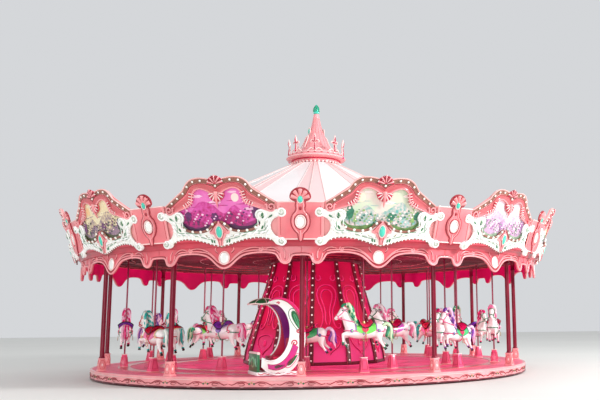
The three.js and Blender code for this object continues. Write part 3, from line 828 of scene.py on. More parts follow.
def pilasters():
    w, low, high = shield["halfWidth"], shield["low"], shield["high"]
    face = shield["depth"] + shield["thickness"]
    top = face + 0.022
    board = [(-w, low), (w, low), (w, high), (-w, high)]
    level = [([(x, -face, z) for x in (-w, -w / 3, w / 3, w)],) for z in (high - 0.012, low + 0.012)]
    upright = [([(x, -face, z) for z in (low + 0.09, 3.3, high - 0.09)],) for x in (0.06 - w, w - 0.06)]
    pieces = [plate([board], shield["depth"], shield["thickness"], salmon, 0.006, 0.12),
              rods(level, 0.014, blush), rods(upright, 0.007, salmonDeep)]

    # the cartouche: shell, gem, neck, oval body, tail
    half = smoothLine(shield["body"], 4)
    outline = [(x + 0.006, -face - 0.01, z) for x, z in half[1:50:2]]
    pieces.append(rods(bothSides([(outline,)]), 0.014, darkRed))
    pieces.append(plate([half + [(-x, z) for x, z in reversed(half[1:-1])]], face, 0.022, salmon, 0.008))
    pieces.append(rods(fan((0, 3.735), 0.196, 2, 178, 5, top + 0.004, 1.0), 0.042, salmon))
    back = shield["shellBack"]
    back = smoothLine(back + [(-x, z) for x, z in reversed(back[1:-1])], 4, True)
    pieces.append(plate([back], top - 0.014, 0.02, darkRed, 0.004))
    side = [(x, -top - lift, z) for x, lift, z in (
        (0.024, 0, 3.06), (0.1, 0.006, 3.15), (0.146, 0.008, 3.3), (0.12, 0.006, 3.43), (0.06, 0, 3.52),
        (0.06, 0.006, 3.6), (0.05, 0, 3.68))]
    pieces.append(rods(bothSides([(side,)]), 0.012, salmonLight))
    tail = [(0, -top - 0.002, 3.14), (0, -top - 0.006, 3.05), (0, -top, 2.935)]
    pieces.append(rods([(tail, [0.6, 1.3, 0.5])], 0.014, salmonLight))
    pieces += [
        ovalBoss((0, 3.3), 0.082, 0.108, top + 0.004, 0.014, mirror),
        ovalRing((0, 3.3), 0.096, 0.122, top + 0.006, 0.015, blush),
        ovalRing((0, 3.3), 0.122, 0.15, top + 0.002, 0.008, darkRed),
        ovalBoss((0, 3.738), 0.05, 0.068, top + 0.022, 0.034, turquoise),
        ovalRing((0, 3.738), 0.058, 0.077, top + 0.022, 0.01, blush),
        ovalBoss((0, 3.56), 0.028, 0.036, top, 0.018, darkRed)]
    standing = copyRound(bendRound(weld(pieces)), pilasterAngles)

    # the coved rail under the frames, in the darker red that is painted shade
    cove = [(6.046 + 0.138 * (1 - math.cos(t * math.pi / 12)), 2.86 + 0.094 * math.sin(t * math.pi / 12))
            for t in range(1, 7)]
    rail = spun([(5.955, valanceTop), (6.004, valanceTop), (6.004, 2.852), (6.016, 2.838), (6.034, 2.842),
                 (6.046, 2.86)] + cove + shield["rail"], railShadeRed, 120, closed=True)
    both = weld([standing, rail], "pilaster_shields")
    return settle(both, "turntable", "salmon_gloss", "cornice_pilasters")


pilasters()
print("pilasters done")


# The scalloped valance

valance = {
    # lower edge over half a bay: degrees from the bay's middle, height
    "edge": [
        (0, 2.408), (0.7, 2.425), (1.5, 2.478), (2.5, 2.578), (3.4, 2.645), (4.4, 2.685), (6.0, 2.712),
        (8.2, 2.718), (9.8, 2.695), (10.35, 2.655), (10.7, 2.59), (11.2, 2.52), (12.0, 2.485),
        (12.75, 2.52), (13.0, 2.59), (13.35, 2.648), (14.1, 2.662), (15, 2.664)],
    "thickness": 0.036,
    # the relief's scrolls that run up the arches, round the drop and down the tongue: line, radii
    "scrolls": [
        ([(0.16, 2.6), (0.3, 2.72), (0.46, 2.8), (0.62, 2.83), (0.74, 2.815)], [0.5, 1, 1, 0.9, 0.7]),
        ([(0.62, 2.775), (0.5, 2.755), (0.4, 2.745)], [1, 0.8, 0.4]),
        ([(0.86, 2.8), (0.96, 2.825), (1.06, 2.8), (1.13, 2.74)], [0.5, 1, 1, 0.5]),
        ([(0.145, 2.74), (0.2, 2.8), (0.16, 2.865), (0.06, 2.885)], [0.6, 1, 1, 0.6]),
        ([(1.145, 2.7), (1.165, 2.6), (1.205, 2.545), (1.257, 2.528), (1.305, 2.548), (1.335, 2.6),
          (1.345, 2.7)], None),
        ([(1.245, 2.6), (1.245, 2.72), (1.2, 2.8)], [1, 1, 0.5])],
}


def scallops():
    metre = math.radians(1) * valanceRadius
    edge = mirrorLine([(x * metre, z) for x, z in smoothLine(valance["edge"], 3)])
    deep = valance["thickness"]
    skirt = ribbon([(x, valanceTop) for x, z in edge], edge,
                   [(0, 0), (0, -deep), (1, -deep), (1, -0.006), (0.985, 0)], [1, 1, 0, 0, 0])
    hem = rods([([(x, -0.004, z + 0.012) for x, z in edge[::2]],)], 0.021, salmonLight, 1)
    hemLine = ([(x, -0.004, z + 0.062) for x, z in edge[::2]], None)
    strokes = [([(x, -0.006, z) for x, z in line], radii) for line, radii in valance["scrolls"]]
    strokes.append((spiral((0.755, 2.79), 0.05, 1.2, 60, 0.006, -1), None))
    strokes = bothSides(strokes)
    strokes.append(([(x, -0.004, z + 0.075 + 0.02 * math.cos(x * 3.9))
                     for x, z in edge[::2] if abs(x) < 10.2 * metre], None))
    # dark red rods set just below each relief line: painted shadow; the same rods give a dark red line a
    # little above the hem
    under = [([(x * 1.004, y + 0.004, z - 0.022) for x, y, z in points], radii)
             for points, radii in strokes + [hemLine]]
    joint = [(-15 * metre, -0.002, 2.68), (-15 * metre, -0.002, 2.84)]
    whole = weld([
        paintWith(skirt, salmonMid, crimsonGlow), hem,
        rods(strokes, 0.0135, salmonLight, 2), rods(under, 0.0115, darkRed, 2, 0),
        ovalBoss((0, 2.627), 0.092, 0.112, 0.01, 0.014, mirror),
        ovalRing((0, 2.627), 0.106, 0.128, 0.01, 0.014, blush), rods([(joint,)], 0.006, salmonDeep)])
    bendRound(whole, lambda z: valanceRadius, valanceRadius)
    return settle(copyRound(whole, bayCentres, "valance_scallops"), "turntable", "salmon_gloss", "valance")


scallops()
print("valance done")


# Roof seams, crown, cone and finial

spire = {
    "crown": [
        (0.52, 5.7055), (0.688, 5.7055), (0.688, 5.752), (0.664, 5.768), (0.656, 5.79), (0.664, 5.812),
        (0.69, 5.832), (0.76, 5.842), (0.812, 5.856), (0.832, 5.878), (0.834, 5.9), (0.824, 5.922),
        (0.796, 5.934), (0.776, 5.942), (0.772, 5.962), (0.768, 5.982), (0.735, 5.996), (0.66, 6.004),
        (0.62, 6.02), (0.585, 6.055), (0.562, 6.098), (0.52, 6.1)],
    "cone": [
        (0, 5.766), (0.519, 5.766), (0.519, 6.02), (0.5, 6.06), (0.462, 6.12), (0.47, 6.135), (0.462, 6.15),
        (0.42, 6.195), (0.388, 6.24), (0.36, 6.3), (0.335, 6.36), (0.292, 6.455), (0.25, 6.56),
        (0.206, 6.655), (0.168, 6.76), (0.136, 6.87), (0.112, 6.98), (0.092, 7.07), (0.079, 7.15),
        (0.086, 7.168), (0.086, 7.186), (0.074, 7.2), (0.07, 7.2245), (0, 7.2245)],
    "bud": [
        (0, 7.2253), (0.06, 7.2253), (0.078, 7.24), (0.088, 7.262), (0.086, 7.28), (0.07, 7.3),
        (0.072, 7.345), (0.062, 7.395), (0.044, 7.45), (0.022, 7.505), (0, 7.524)],
    "fleurs": 8,
    "teeth": 40,
    "dashes": 26,
}


def roofSeams():
    # standing seams along the ridges and along the edges of the pink stripes
    half = math.radians(bayAngle / 2)
    slope, rim, mouth, mouthHeight = 0.5, 6.0, 0.72, 5.695
    strokes = []
    for ridge in pilasterAngles:
        for off, lift in ((0, 0.004), (6.3, 0.002), (bayAngle - 6.3, 0.002)):
            share = math.cos(half) / math.cos(math.radians(off) - half)
            strokes.append(([onRing(reach * share, ridge + off, height + lift) for reach, height in
                             ((mouth, mouthHeight), (rim, 5.705 - slope * (rim - 0.7)))],))
    seams = rods(strokes, 0.011, blush, 1)
    seams.name = "roof_seams"
    return settle(seams, "turntable", "roof_skin")


def crownRing():
    parts = [spun(spire["crown"], salmonLight, 72, 50, closed=True)]
    parts.append(copyRound(ball((0, -0.7, 5.728), 0.034, blush, (0.95, 0.6, 0.9)), around(spire["teeth"])))
    gap = turned(ball((0, -0.69, 5.716), 0.017, maroon, (1, 0.5, 0.8), 8, 5), 180 / spire["teeth"])
    parts.append(copyRound(gap, around(spire["teeth"])))
    dash = ball((0, -0.771, 5.962), 0.034, darkRed, (1.15, 0.25, 0.36))
    parts.append(copyRound(dash, around(spire["dashes"])))
    lip = [(0.668, 5.806), (0.7, 5.83), (0.703, 5.826), (0.676, 5.802)]
    parts.append(spun(lip, crimson, 72, closed=True))
    parts.append(rods([([onRing(radius, a, z) for a in around(24)], None, True)
                       for radius, z in ((0.835, 5.893), (0.764, 5.992))], 0.009, blush))
    parts += [turned(ball((0, -0.842, 5.88), 0.042, hotPink, (1, 0.5, 0.8), 14, 8), a) for a in (68, 248)]

    # one fleur, drawn upright at the front
    pale = bothSides([
        ([(0.012, -0.738, 6.235), (0.055, -0.744, 6.285), (0.095, -0.748, 6.29), (0.112, -0.745, 6.255),
          (0.094, -0.742, 6.236)], [0.8, 0.9, 0.8, 0.7, 0.5]),
        ([(0.02, -0.738, 6.03), (0.09, -0.742, 6.075), (0.165, -0.735, 6.045), (0.2, -0.722, 6.01)],
         [0.9, 0.8, 0.7, 0.6])])
    pale += [
        ([(0, -0.735, 5.985), (0, -0.742, 6.08), (0, -0.738, 6.17), (0, -0.738, 6.25)],
         [1.5, 1.15, 0.75, 0.95]),
        ([(0, -0.74, 6.24), (0, -0.752, 6.33), (0, -0.762, 6.41), (0, -0.772, 6.487)],
         [0.8, 1.35, 0.95, 0.25])]
    red = bothSides([
        ([(0.014, -0.764, 6.245), (0.055, -0.766, 6.272), (0.09, -0.766, 6.262)], [0.6, 0.7, 0.4])])
    red += [
        ([(0, -0.774, 6.01), (0, -0.772, 6.12), (0, -0.765, 6.22)], [1.3, 0.9, 0.6]),
        ([(0, -0.766, 6.26), (0, -0.784, 6.34), (0, -0.78, 6.43)], [0.6, 1.15, 0.4])]
    fleur = weld([rods(pale, 0.027, blush), rods(red, 0.019, crimson)])
    parts.append(copyRound(fleur, around(spire["fleurs"])))
    return settle(weld(parts, "crown_ring"), "turntable", "salmon_gloss", "crown")


def cone():
    at = follow([(z, r) for r, z in spire["cone"][7:19]])
    ribs = [([onRing(at(z) + 0.001, a, z) for z in (6.16, 6.36, 6.6, 6.85, 7.14)], [1, 0.9, 0.75, 0.6, 0.45])
            for a in around(16)]
    parts = [spun(spire["cone"], salmonLight, 64, 50), rods(ribs, 0.008, salmon)]
    # a gem in a scrolled frame on each side
    middle = 6.7
    reach = at(middle) + 0.012
    for azimuth in (-64, 116):
        gem = ball((0, -reach - 0.012, middle), 1, turquoise, (0.062, 0.03, 0.092), 18, 12)
        oval = [(0.072 * math.cos(a), -reach - 0.012, middle + 0.104 * math.sin(a)) for a in turns(12)]
        curl = [(x, -reach - out, middle - down) for x, out, down in (
            (0.02, 0.03, 0.12), (0.075, 0.075, 0.165), (0.1, 0.105, 0.26), (0.13, 0.165, 0.4),
            (0.19, 0.23, 0.52))]
        setting = rods([(oval, None, True)] + bothSides([(curl, [0.8, 1.2, 1.0, 0.9, 0.7])]), 0.016, blush)
        parts.append(turned(weld([gem, setting]), azimuth))
    return settle(weld(parts, "cone_shell"), "turntable", "salmon_gloss", "spire_cone")


def finial():
    lines = [([onRing(r, turn + lean, z) for r, lean, z in (
        (0.06, 0, 7.275), (0.074, 8, 7.33), (0.068, 18, 7.39), (0.046, 30, 7.445), (0.016, 44, 7.5))],
        [0.7, 1.2, 1.1, 0.8, 0.4]) for turn in around(7)]
    both = weld([spun(spire["bud"], turquoise, 20, 60), rods(lines, 0.02, jade)], "finial_bud")
    return settle(both, "turntable", "green_gloss", "spire_finial")


roofSeams()
crownRing()
cone()
finial()
print("spire done")


# Painted pictures under the arches

skies = {
    "mint": {
        "sky": (196, 222, 186), "band": (232, 206, 200), "near": (96, 130, 70), "dots": (250, 226, 222),
        "disc": (244, 232, 200), "hills": [(104, 190, 180), (246, 206, 210), (84, 166, 146)],
        "trees": [(40, 112, 84), (132, 168, 96)]},
    "lilac": {
        "sky": (246, 226, 232), "band": (232, 196, 214), "near": (140, 158, 134), "dots": (250, 240, 244),
        "disc": (252, 236, 206), "hills": [(196, 156, 196), (226, 180, 204), (160, 132, 176)],
        "trees": [(170, 120, 168), (128, 150, 130)]},
    "straw": {
        "sky": (242, 232, 196), "band": (236, 214, 170), "near": (84, 88, 62), "dots": (244, 230, 190),
        "disc": (250, 206, 150), "hills": [(150, 120, 146), (182, 150, 160), (120, 96, 128)],
        "trees": [(112, 60, 108), (70, 84, 70)]},
    "rose": {
        "sky": (242, 130, 196), "band": (222, 84, 176), "near": (70, 24, 66), "dots": (246, 196, 222),
        "disc": (252, 222, 214), "hills": [(214, 20, 124), (116, 36, 100), (206, 30, 132)],
        "trees": [(96, 30, 92), (170, 24, 112)]},
}


def lobed(cx, cz, wide, tall, lobes, phase=0.0):
    # a closed round shape with soft lobes, for clouds and tree tops
    return [(cx + wide * math.cos(a) * (1 + 0.1 * math.sin(lobes * a + phase)),
             cz + tall * math.sin(a) * (1 + 0.1 * math.sin(lobes * a + phase))) for a in turns(28)]


def picture(number):
    name = list(skies)[number % len(skies)]
    colors = skies[name]
    mixes = [colors["band"]] + colors["hills"]
    sky = paint(name + " sky", srgb(*colors["sky"]), vary=0.05, patch=3, second=srgb(*mixes[0]), rough=0.5)
    hills = [paint(f"{name} hill {i}", srgb(*color), vary=0.25, patch=16, rough=0.5, second=srgb(*mixes[i]))
             for i, color in enumerate(colors["hills"])]
    near = paint(name + " near", srgb(*colors["near"]), vary=0.35, patch=9, rough=0.55)
    dots = paint(name + " dots", srgb(*colors["dots"]), vary=0.05)
    disc = paint(name + " disc", srgb(*colors["disc"]), vary=0.04)
    leaves = [paint(f"{name} leaf {i}", srgb(*color), vary=0.3, patch=12, rough=0.55)
              for i, color in enumerate(colors["trees"])]
    flip = -1 if number % 2 else 1
    swing = 0.05 * (number % 3)

    def lay(shapes, depth, thickness, material, strips=0):
        # every second picture is drawn the other way round
        drawn = [[(flip * x, z) for x, z in shape] for shape in shapes]
        return plate(drawn, depth, thickness, material, 0, strips)

    backdrop = mirrorLine([(x, z - 0.05) for x, z in smoothLine(arch["outer"], 3)])
    backdrop += [(1.12, 3.06), (-1.12, 3.06)]
    clouds = [lobed(0.1, 3.72, 0.17, 0.035, 5), lobed(0.58 - swing, 3.86, 0.13, 0.03, 6, 1),
              lobed(-0.35, 3.92, 0.1, 0.022, 5, 2), lobed(-0.8 + swing, 3.58, 0.12, 0.028, 6, 1)]
    parts = [plate([backdrop], 0.001, 0.004, sky, 0, 0.12),
             lay([lobed(-0.5 + swing, 3.8, 0.085, 0.085, 1)], 0.005, 0.002, disc),
             lay(clouds, 0.005, 0.002, dots)]
    # hill ranges from the far one to the ground in front, by their crest lines
    for depth, thickness, ink, crest in (
            (0.005, 0.004, hills[0], [
                (-1.1, 3.38), (-0.86, 3.5 + swing), (-0.66, 3.42), (-0.38, 3.66), (-0.12, 3.5),
                (0.16, 3.6 + swing), (0.44, 3.74), (0.7, 3.52), (0.92, 3.58), (1.1, 3.44)]),
            (0.009, 0.004, hills[1], [
                (-1.1, 3.46), (-0.9, 3.4), (-0.6, 3.3), (-0.3, 3.44 + swing), (0.05, 3.34), (0.3, 3.3),
                (0.62, 3.42), (0.86, 3.36), (1.1, 3.5)]),
            (0.013, 0.003, hills[2], [
                (-1.1, 3.3), (-0.78, 3.34), (-0.45, 3.24), (-0.1, 3.28), (0.25, 3.36 - swing), (0.6, 3.26),
                (1.1, 3.36)]),
            (0.016, 0.003, near, [
                (-1.1, 3.4), (-0.92, 3.36), (-0.74, 3.26), (-0.5, 3.24), (-0.28, 3.28), (0, 3.32),
                (0.3, 3.27), (0.55, 3.22), (0.8, 3.3), (0.95, 3.42), (1.1, 3.46)])):
        parts.append(lay([smoothLine(crest, 4) + [(1.1, 3.06), (-1.1, 3.06)]], depth, thickness, ink, 0.12))
    # trees as foot, height and whether the top is pointed
    for k, (x, z, tall, pointed) in enumerate([
            (-0.74, 3.28, 0.36, False), (-0.62, 3.26, 0.26, True), (0.2, 3.3, 0.22, False),
            (0.72, 3.28, 0.34, True), (0.84, 3.3, 0.26, False), (-0.18, 3.28, 0.18, True)]):
        x += swing * (1 if k % 2 else -1)
        top = lobed(x, z + tall * 0.62, 0.085, tall * 0.36, 6, k)
        if pointed:
            top = [(x + dx, z + dz) for dx, dz in (
                (-0.055, 0.06), (-0.012, tall * 0.55), (0, tall), (0.012, tall * 0.55), (0.055, 0.06))]
        trunk = [(x - 0.01, z), (x + 0.01, z), (x + 0.007, z + tall * 0.5), (x - 0.007, z + tall * 0.5)]
        parts += [lay([trunk], 0.0185, 0.002, near), lay([top], 0.0195, 0.003, leaves[k % 2])]
    dabs = [[], [], []]
    for k in range(84):
        x = -0.92 + 1.84 * ((k * 0.618) % 1)
        z = 3.2 + 0.26 * ((k * 0.371) % 1) + 0.22 * abs(x)
        size = 0.01 + 0.014 * ((k * 0.77) % 1)
        dabs[k % 3].append([(x + size * 1.5 * math.cos(a + k), z + size * math.sin(a + k)) for a in turns(5)])
    parts += [plate(dabs[k], 0.0225 + 0.0004 * k, 0.002, ink) for k, ink in enumerate((*leaves, dots))]
    streaks = [lobed(-0.62 + 0.21 * k + swing, 3.7 + 0.05 * math.sin(2.3 * k + number), 0.11, 0.008, 3, k)
               for k in range(7)]
    parts.append(plate(streaks, 0.005, 0.0016, hills[1]))
    whole = weld(parts)
    whole.data.transform(Matrix.Scale(0.91, 4, (1, 0, 0)))
    return bendRound(whole)


def pictures():
    made = [turned(picture(i), azimuth) for i, azimuth in enumerate(bayCentres)]
    sets = len(skies)
    whole = weld([scene for k in range(sets) for scene in made[k::sets]], "painted_pictures")
    return settle(whole, "turntable", "picture_paint")


pictures()
print("pictures done")


# Ceiling battens

def battens():
    low = ceilingLow - 0.006
    strokes = [([onRing(reach, turn, low) for reach in ends],)
               for turn in around(48, 3.75) for ends in ((1.32, 3.84), (3.96, 4.84), (4.96, 5.9))]
    rings = [([onRing(reach, a, low) for a in around(36)], None, True)
             for reach in (1.7, 2.4, 3.1, 3.83, 3.97, 4.83, 4.97, 5.6)]
    both = weld([rods(strokes, 0.014, maroon, 1), rods(rings, 0.011, darkRed, 2)], "ceiling_battens")
    return settle(both, "turntable", "ceiling_paint")


battens()


# Centre drum with lamp strips

drum = {
    "profile": [(0.2505, 1.89), (0.6, 1.84), (1.3, 1.64), (1.9, 1.45), (2.45, 1.285), (2.9747, 1.165)],
    "wall": 0.028,
    # half of one side's relief: a hooded arch on a vase, the line inside it, a shield and its drops
    "relief": [
        [(0, 2.29), (0.1, 2.275), (0.19, 2.215), (0.245, 2.11), (0.25, 1.98), (0.215, 1.84),
         (0.16, 1.7), (0.13, 1.54), (0.135, 1.38), (0.18, 1.24), (0.25, 1.165), (0.315, 1.19),
         (0.325, 1.265), (0.275, 1.29)],
        [(0, 2.17), (0.09, 2.14), (0.145, 2.04), (0.135, 1.9), (0.085, 1.74), (0.055, 1.56),
         (0.065, 1.38), (0.03, 1.26)],
        [(0, 1.02), (0.16, 1.0), (0.285, 0.93), (0.27, 0.8), (0.18, 0.68), (0.06, 0.6), (0, 0.52)],
        [(0.24, 2.56), (0.26, 2.46), (0.2, 2.4), (0.13, 2.46), (0.16, 2.54)]],
    "foot": [(1.896, 0.2505), (1.93, 0.2505), (1.935, 0.28), (1.915, 0.31), (1.902, 0.33), (1.88, 0.33)],
    "collar": [(1.186, 2.915), (1.222, 2.915), (1.236, 2.93), (1.236, 2.9745), (1.186, 2.9745)],
    "stripHalf": 0.062,
    "lampStep": 0.19,
    "lampRadius": 0.024,
}
drumLine = smoothLine(drum["profile"], 6)
drumAt = follow(drumLine)


def drumShell():
    profile = [(r, z) for z, r in drumLine] + [(r - drum["wall"], z) for z, r in reversed(drumLine)]
    shell = spun(profile, drumPaint(), bays, 20, closed=True)
    # the relief's lines are hot pink as painted highlight, and the dark crimson rods set down and to one side
    # of them are painted shadow
    lines = bothSides([([(x, -0.01, z) for x, z in line], [0.6] + [1] * (len(line) - 2) + [0.6])
                       for line in drum["relief"]])
    shadows = [([(x + 0.014, y + 0.004, z - 0.014) for x, y, z in points], radii) for points, radii in lines]
    bud = ball((0, -0.016, 0.8), 0.06, hotPink, (1, 0.3, 1.3), 14, 8)
    side = weld([rods(lines, 0.0165, hotPink, 2), rods(shadows, 0.013, darkCrimson, 2, 0), bud])
    layFlat(side, lambda z: drumAt(z) * math.cos(math.radians(bayAngle / 2)))
    foot = spun(drum["foot"], maroon, bays, 20, closed=True)
    whole = weld([shell, copyRound(side, bayCentres), foot], "drum_shell")
    return settle(whole, "turntable", "crimson_gloss", "drum_panels")


def lampStrips():
    half = drum["stripHalf"]
    step = drum["lampStep"]
    low, high = 0.2505, 2.9745
    rise = [low + (high - low) * i / 16 for i in range(17)]
    board = ribbon([(-half, z) for z in rise], [(half, z) for z in rise],
                   [(0, 0.001), (0, 0.02), (0.1, 0.026), (0.9, 0.026), (1, 0.02), (1, 0.001)])
    edges = [([(s * (half - 0.006), -0.026, z) for z in rise[::2]],) for s in (-1, 1)]
    places = [(0, low + 0.12 + step * i) for i in range(int((high - low - 0.2) / step) + 1)]
    bulbs = lamps(places, drum["lampRadius"], 0.03)
    strip = weld([paintWith(board, maroon), rods(edges, 0.006, darkRed, 2), bulbs])
    strips = copyRound(layFlat(strip, drumAt), pilasterAngles)
    whole = weld([strips, spun(drum["collar"], maroon, bays, 20, closed=True)], "lamp_strips")
    return settle(whole, "turntable", "maroon_gloss", "drum_light_strips")


drumShell()
lampStrips()
print("drum done")


# Columns with square pedestals

column = {
    "ring": 5.56,
    "shaft": [
        (0, 0.535), (0.058, 0.535), (0.068, 0.55), (0.068, 0.568), (0.057, 0.582), (0.053, 0.605),
        (0.053, 1.1), (0.052, 1.9), (0.05, 2.6), (0.052, 2.7), (0.064, 2.715), (0.064, 2.735),
        (0.053, 2.752), (0.053, 2.88), (0.062, 2.915), (0.084, 2.945), (0.086, 2.9745), (0, 2.9745)],
    "foot": 0.085,
    "head": 0.068,
    "pedestalTop": 0.55,
    "panel": [
        (0.048, -0.082, 0.32), (0.04, -0.074, 0.475), (0, -0.072, 0.5), (-0.04, -0.074, 0.475),
        (-0.048, -0.082, 0.32), (0, -0.083, 0.3)],
}
postLow = deckTop + 0.0005  # the foot of the columns and guides, just off the deck


def columns():
    side = weld([rods([(column["panel"], None, True)], 0.005, salmonDeep, 2),
                 ball((0, -0.079, 0.395), 0.019, blush, (1, 0.4, 1.7), 12, 8)])
    whole = weld([
        spun(column["shaft"], columnPaint, 24),
        taperedBox(column["foot"], column["head"], postLow, column["pedestalTop"], salmon),
        block((0.19, 0.19, 0.034), (0, 0, postLow + 0.017), 0.006, salmonLight),
        block((0.156, 0.156, 0.026), (0, 0, 0.537), 0.006, salmonLight), copyRound(side, around(4))])
    standing = copyRound(station(whole, column["ring"], 0), pilasterAngles, "turned_columns")
    names = [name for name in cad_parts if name.startswith("column")]
    return settle(standing, "turntable", "column_paint", *names)


columns()
print("columns done")


# Guides that the poles run in

outerRow = 4.9
innerRow = 3.9
outerAngles = [a for a in bayCentres if a not in (165, 345)]  # the seats take these two places
guideLine = [(0.062, -0.091, 0.33), (0.042, -0.07, 0.51), (-0.042, -0.07, 0.51), (-0.062, -0.091, 0.33)]


def guides(name, row, azimuths, node):
    post = taperedBox(0.099, 0.059, postLow, deckTop + 0.318, guidePink)
    cap = block((0.14, 0.14, 0.022), (0, 0, deckTop + 0.319), 0.005, blush)
    # the bore for the pole
    bpy.ops.mesh.primitive_cylinder_add(vertices=20, radius=0.0235, depth=0.5)
    drill = moved(bpy.context.object, (0, 0, deckTop + 0.28))
    for piece in (post, cap):
        addModifier(piece, "BOOLEAN", object=drill, operation="DIFFERENCE", solver="EXACT")
    bpy.data.objects.remove(drill)
    foot = block((0.214, 0.214, 0.024), (0, 0, postLow + 0.012), 0.005, salmonLight)
    lines = copyRound(rods([(guideLine, None, True)], 0.0055, crimson, 1), around(4))
    standing = copyRound(station(weld([post, cap, foot, lines]), row, 0), azimuths)
    track = spun([(row - 0.148, postLow), (row + 0.148, postLow), (row + 0.146, postLow + 0.01),
                  (row - 0.146, postLow + 0.01)], salmonDeep, 96, closed=True)
    return settle(weld([standing, track], name), "turntable", "pink_gloss", node)


guides("outer_guides", outerRow, outerAngles, "outer_pole_guides")
guides("inner_guides", innerRow, pilasterAngles, "inner_pole_guides")
print("guides done")


# Platform trims

fasciaFace = 5.6815


def platformTrims():
    strokes = []
    for a in around(36):
        for s in (-1, 1):
            strokes += [
                ([onRing(fasciaFace, a + s * t, z) for t, z in
                  ((0.5, 0.12), (1.6, 0.16), (3.0, 0.15), (4.1, 0.1), (4.9, 0.12))], [0.8, 1.1, 1, 1.1, 0.7]),
                ([onRing(fasciaFace, a + s * (2.2 + 0.75 * math.cos(u)), 0.112 + 0.026 * math.sin(u))
                  for u in (0.3, 1.6, 2.9, 4.2, 5.3)], [0.8, 1, 0.9, 0.7, 0.5])]
    rings = [([onRing(fasciaFace + 0.001, a, z) for a in around(60)], None, True) for z in (0.052, 0.196)]
    # a dark maroon band round the fascia's foot: painted shadow of the gap under the platform
    gapShadowBand = [(fasciaFace - 0.012, 0.0305), (fasciaFace + 0.006, 0.0305), (fasciaFace + 0.006, 0.06),
           (fasciaFace - 0.012, 0.06)]
    parts = [rods(strokes, 0.009, darkRed, 2), rods(rings, 0.007, blush, 1),
             spun(gapShadowBand, maroon, 180, closed=True)]
    for a in around(36):
        for aside, z, ink in ((0, 0.145, oldGold), (-0.5, 0.122, leafGreen), (0.5, 0.122, leafGreen)):
            parts.append(turned(ball((0, -fasciaFace - 0.002, z), 0.02, ink, (1, 0.4, 1), 8, 5), a + aside))
    return settle(weld(parts, "fascia_scrolls"), "turntable", "salmon_gloss")


def deckJoints():
    strokes = [([onRing(reach, a, deckTop) for reach in (1.93, 3.72)],) for a in bayCentres]
    strokes += [([onRing(reach, a, deckTop) for a in around(60)], None, True)
                for reach in (2.6, 3.2, 4.42, 5.3)]
    joints = rods(strokes, 0.004, crimson, 1)
    joints.name = "deck_joints"
    return settle(joints, "turntable", "deck_plate")


platformTrims()
deckJoints()
print("platform done")


# Jumping horses. One side is given where both are alike; y is across and -x is ahead.

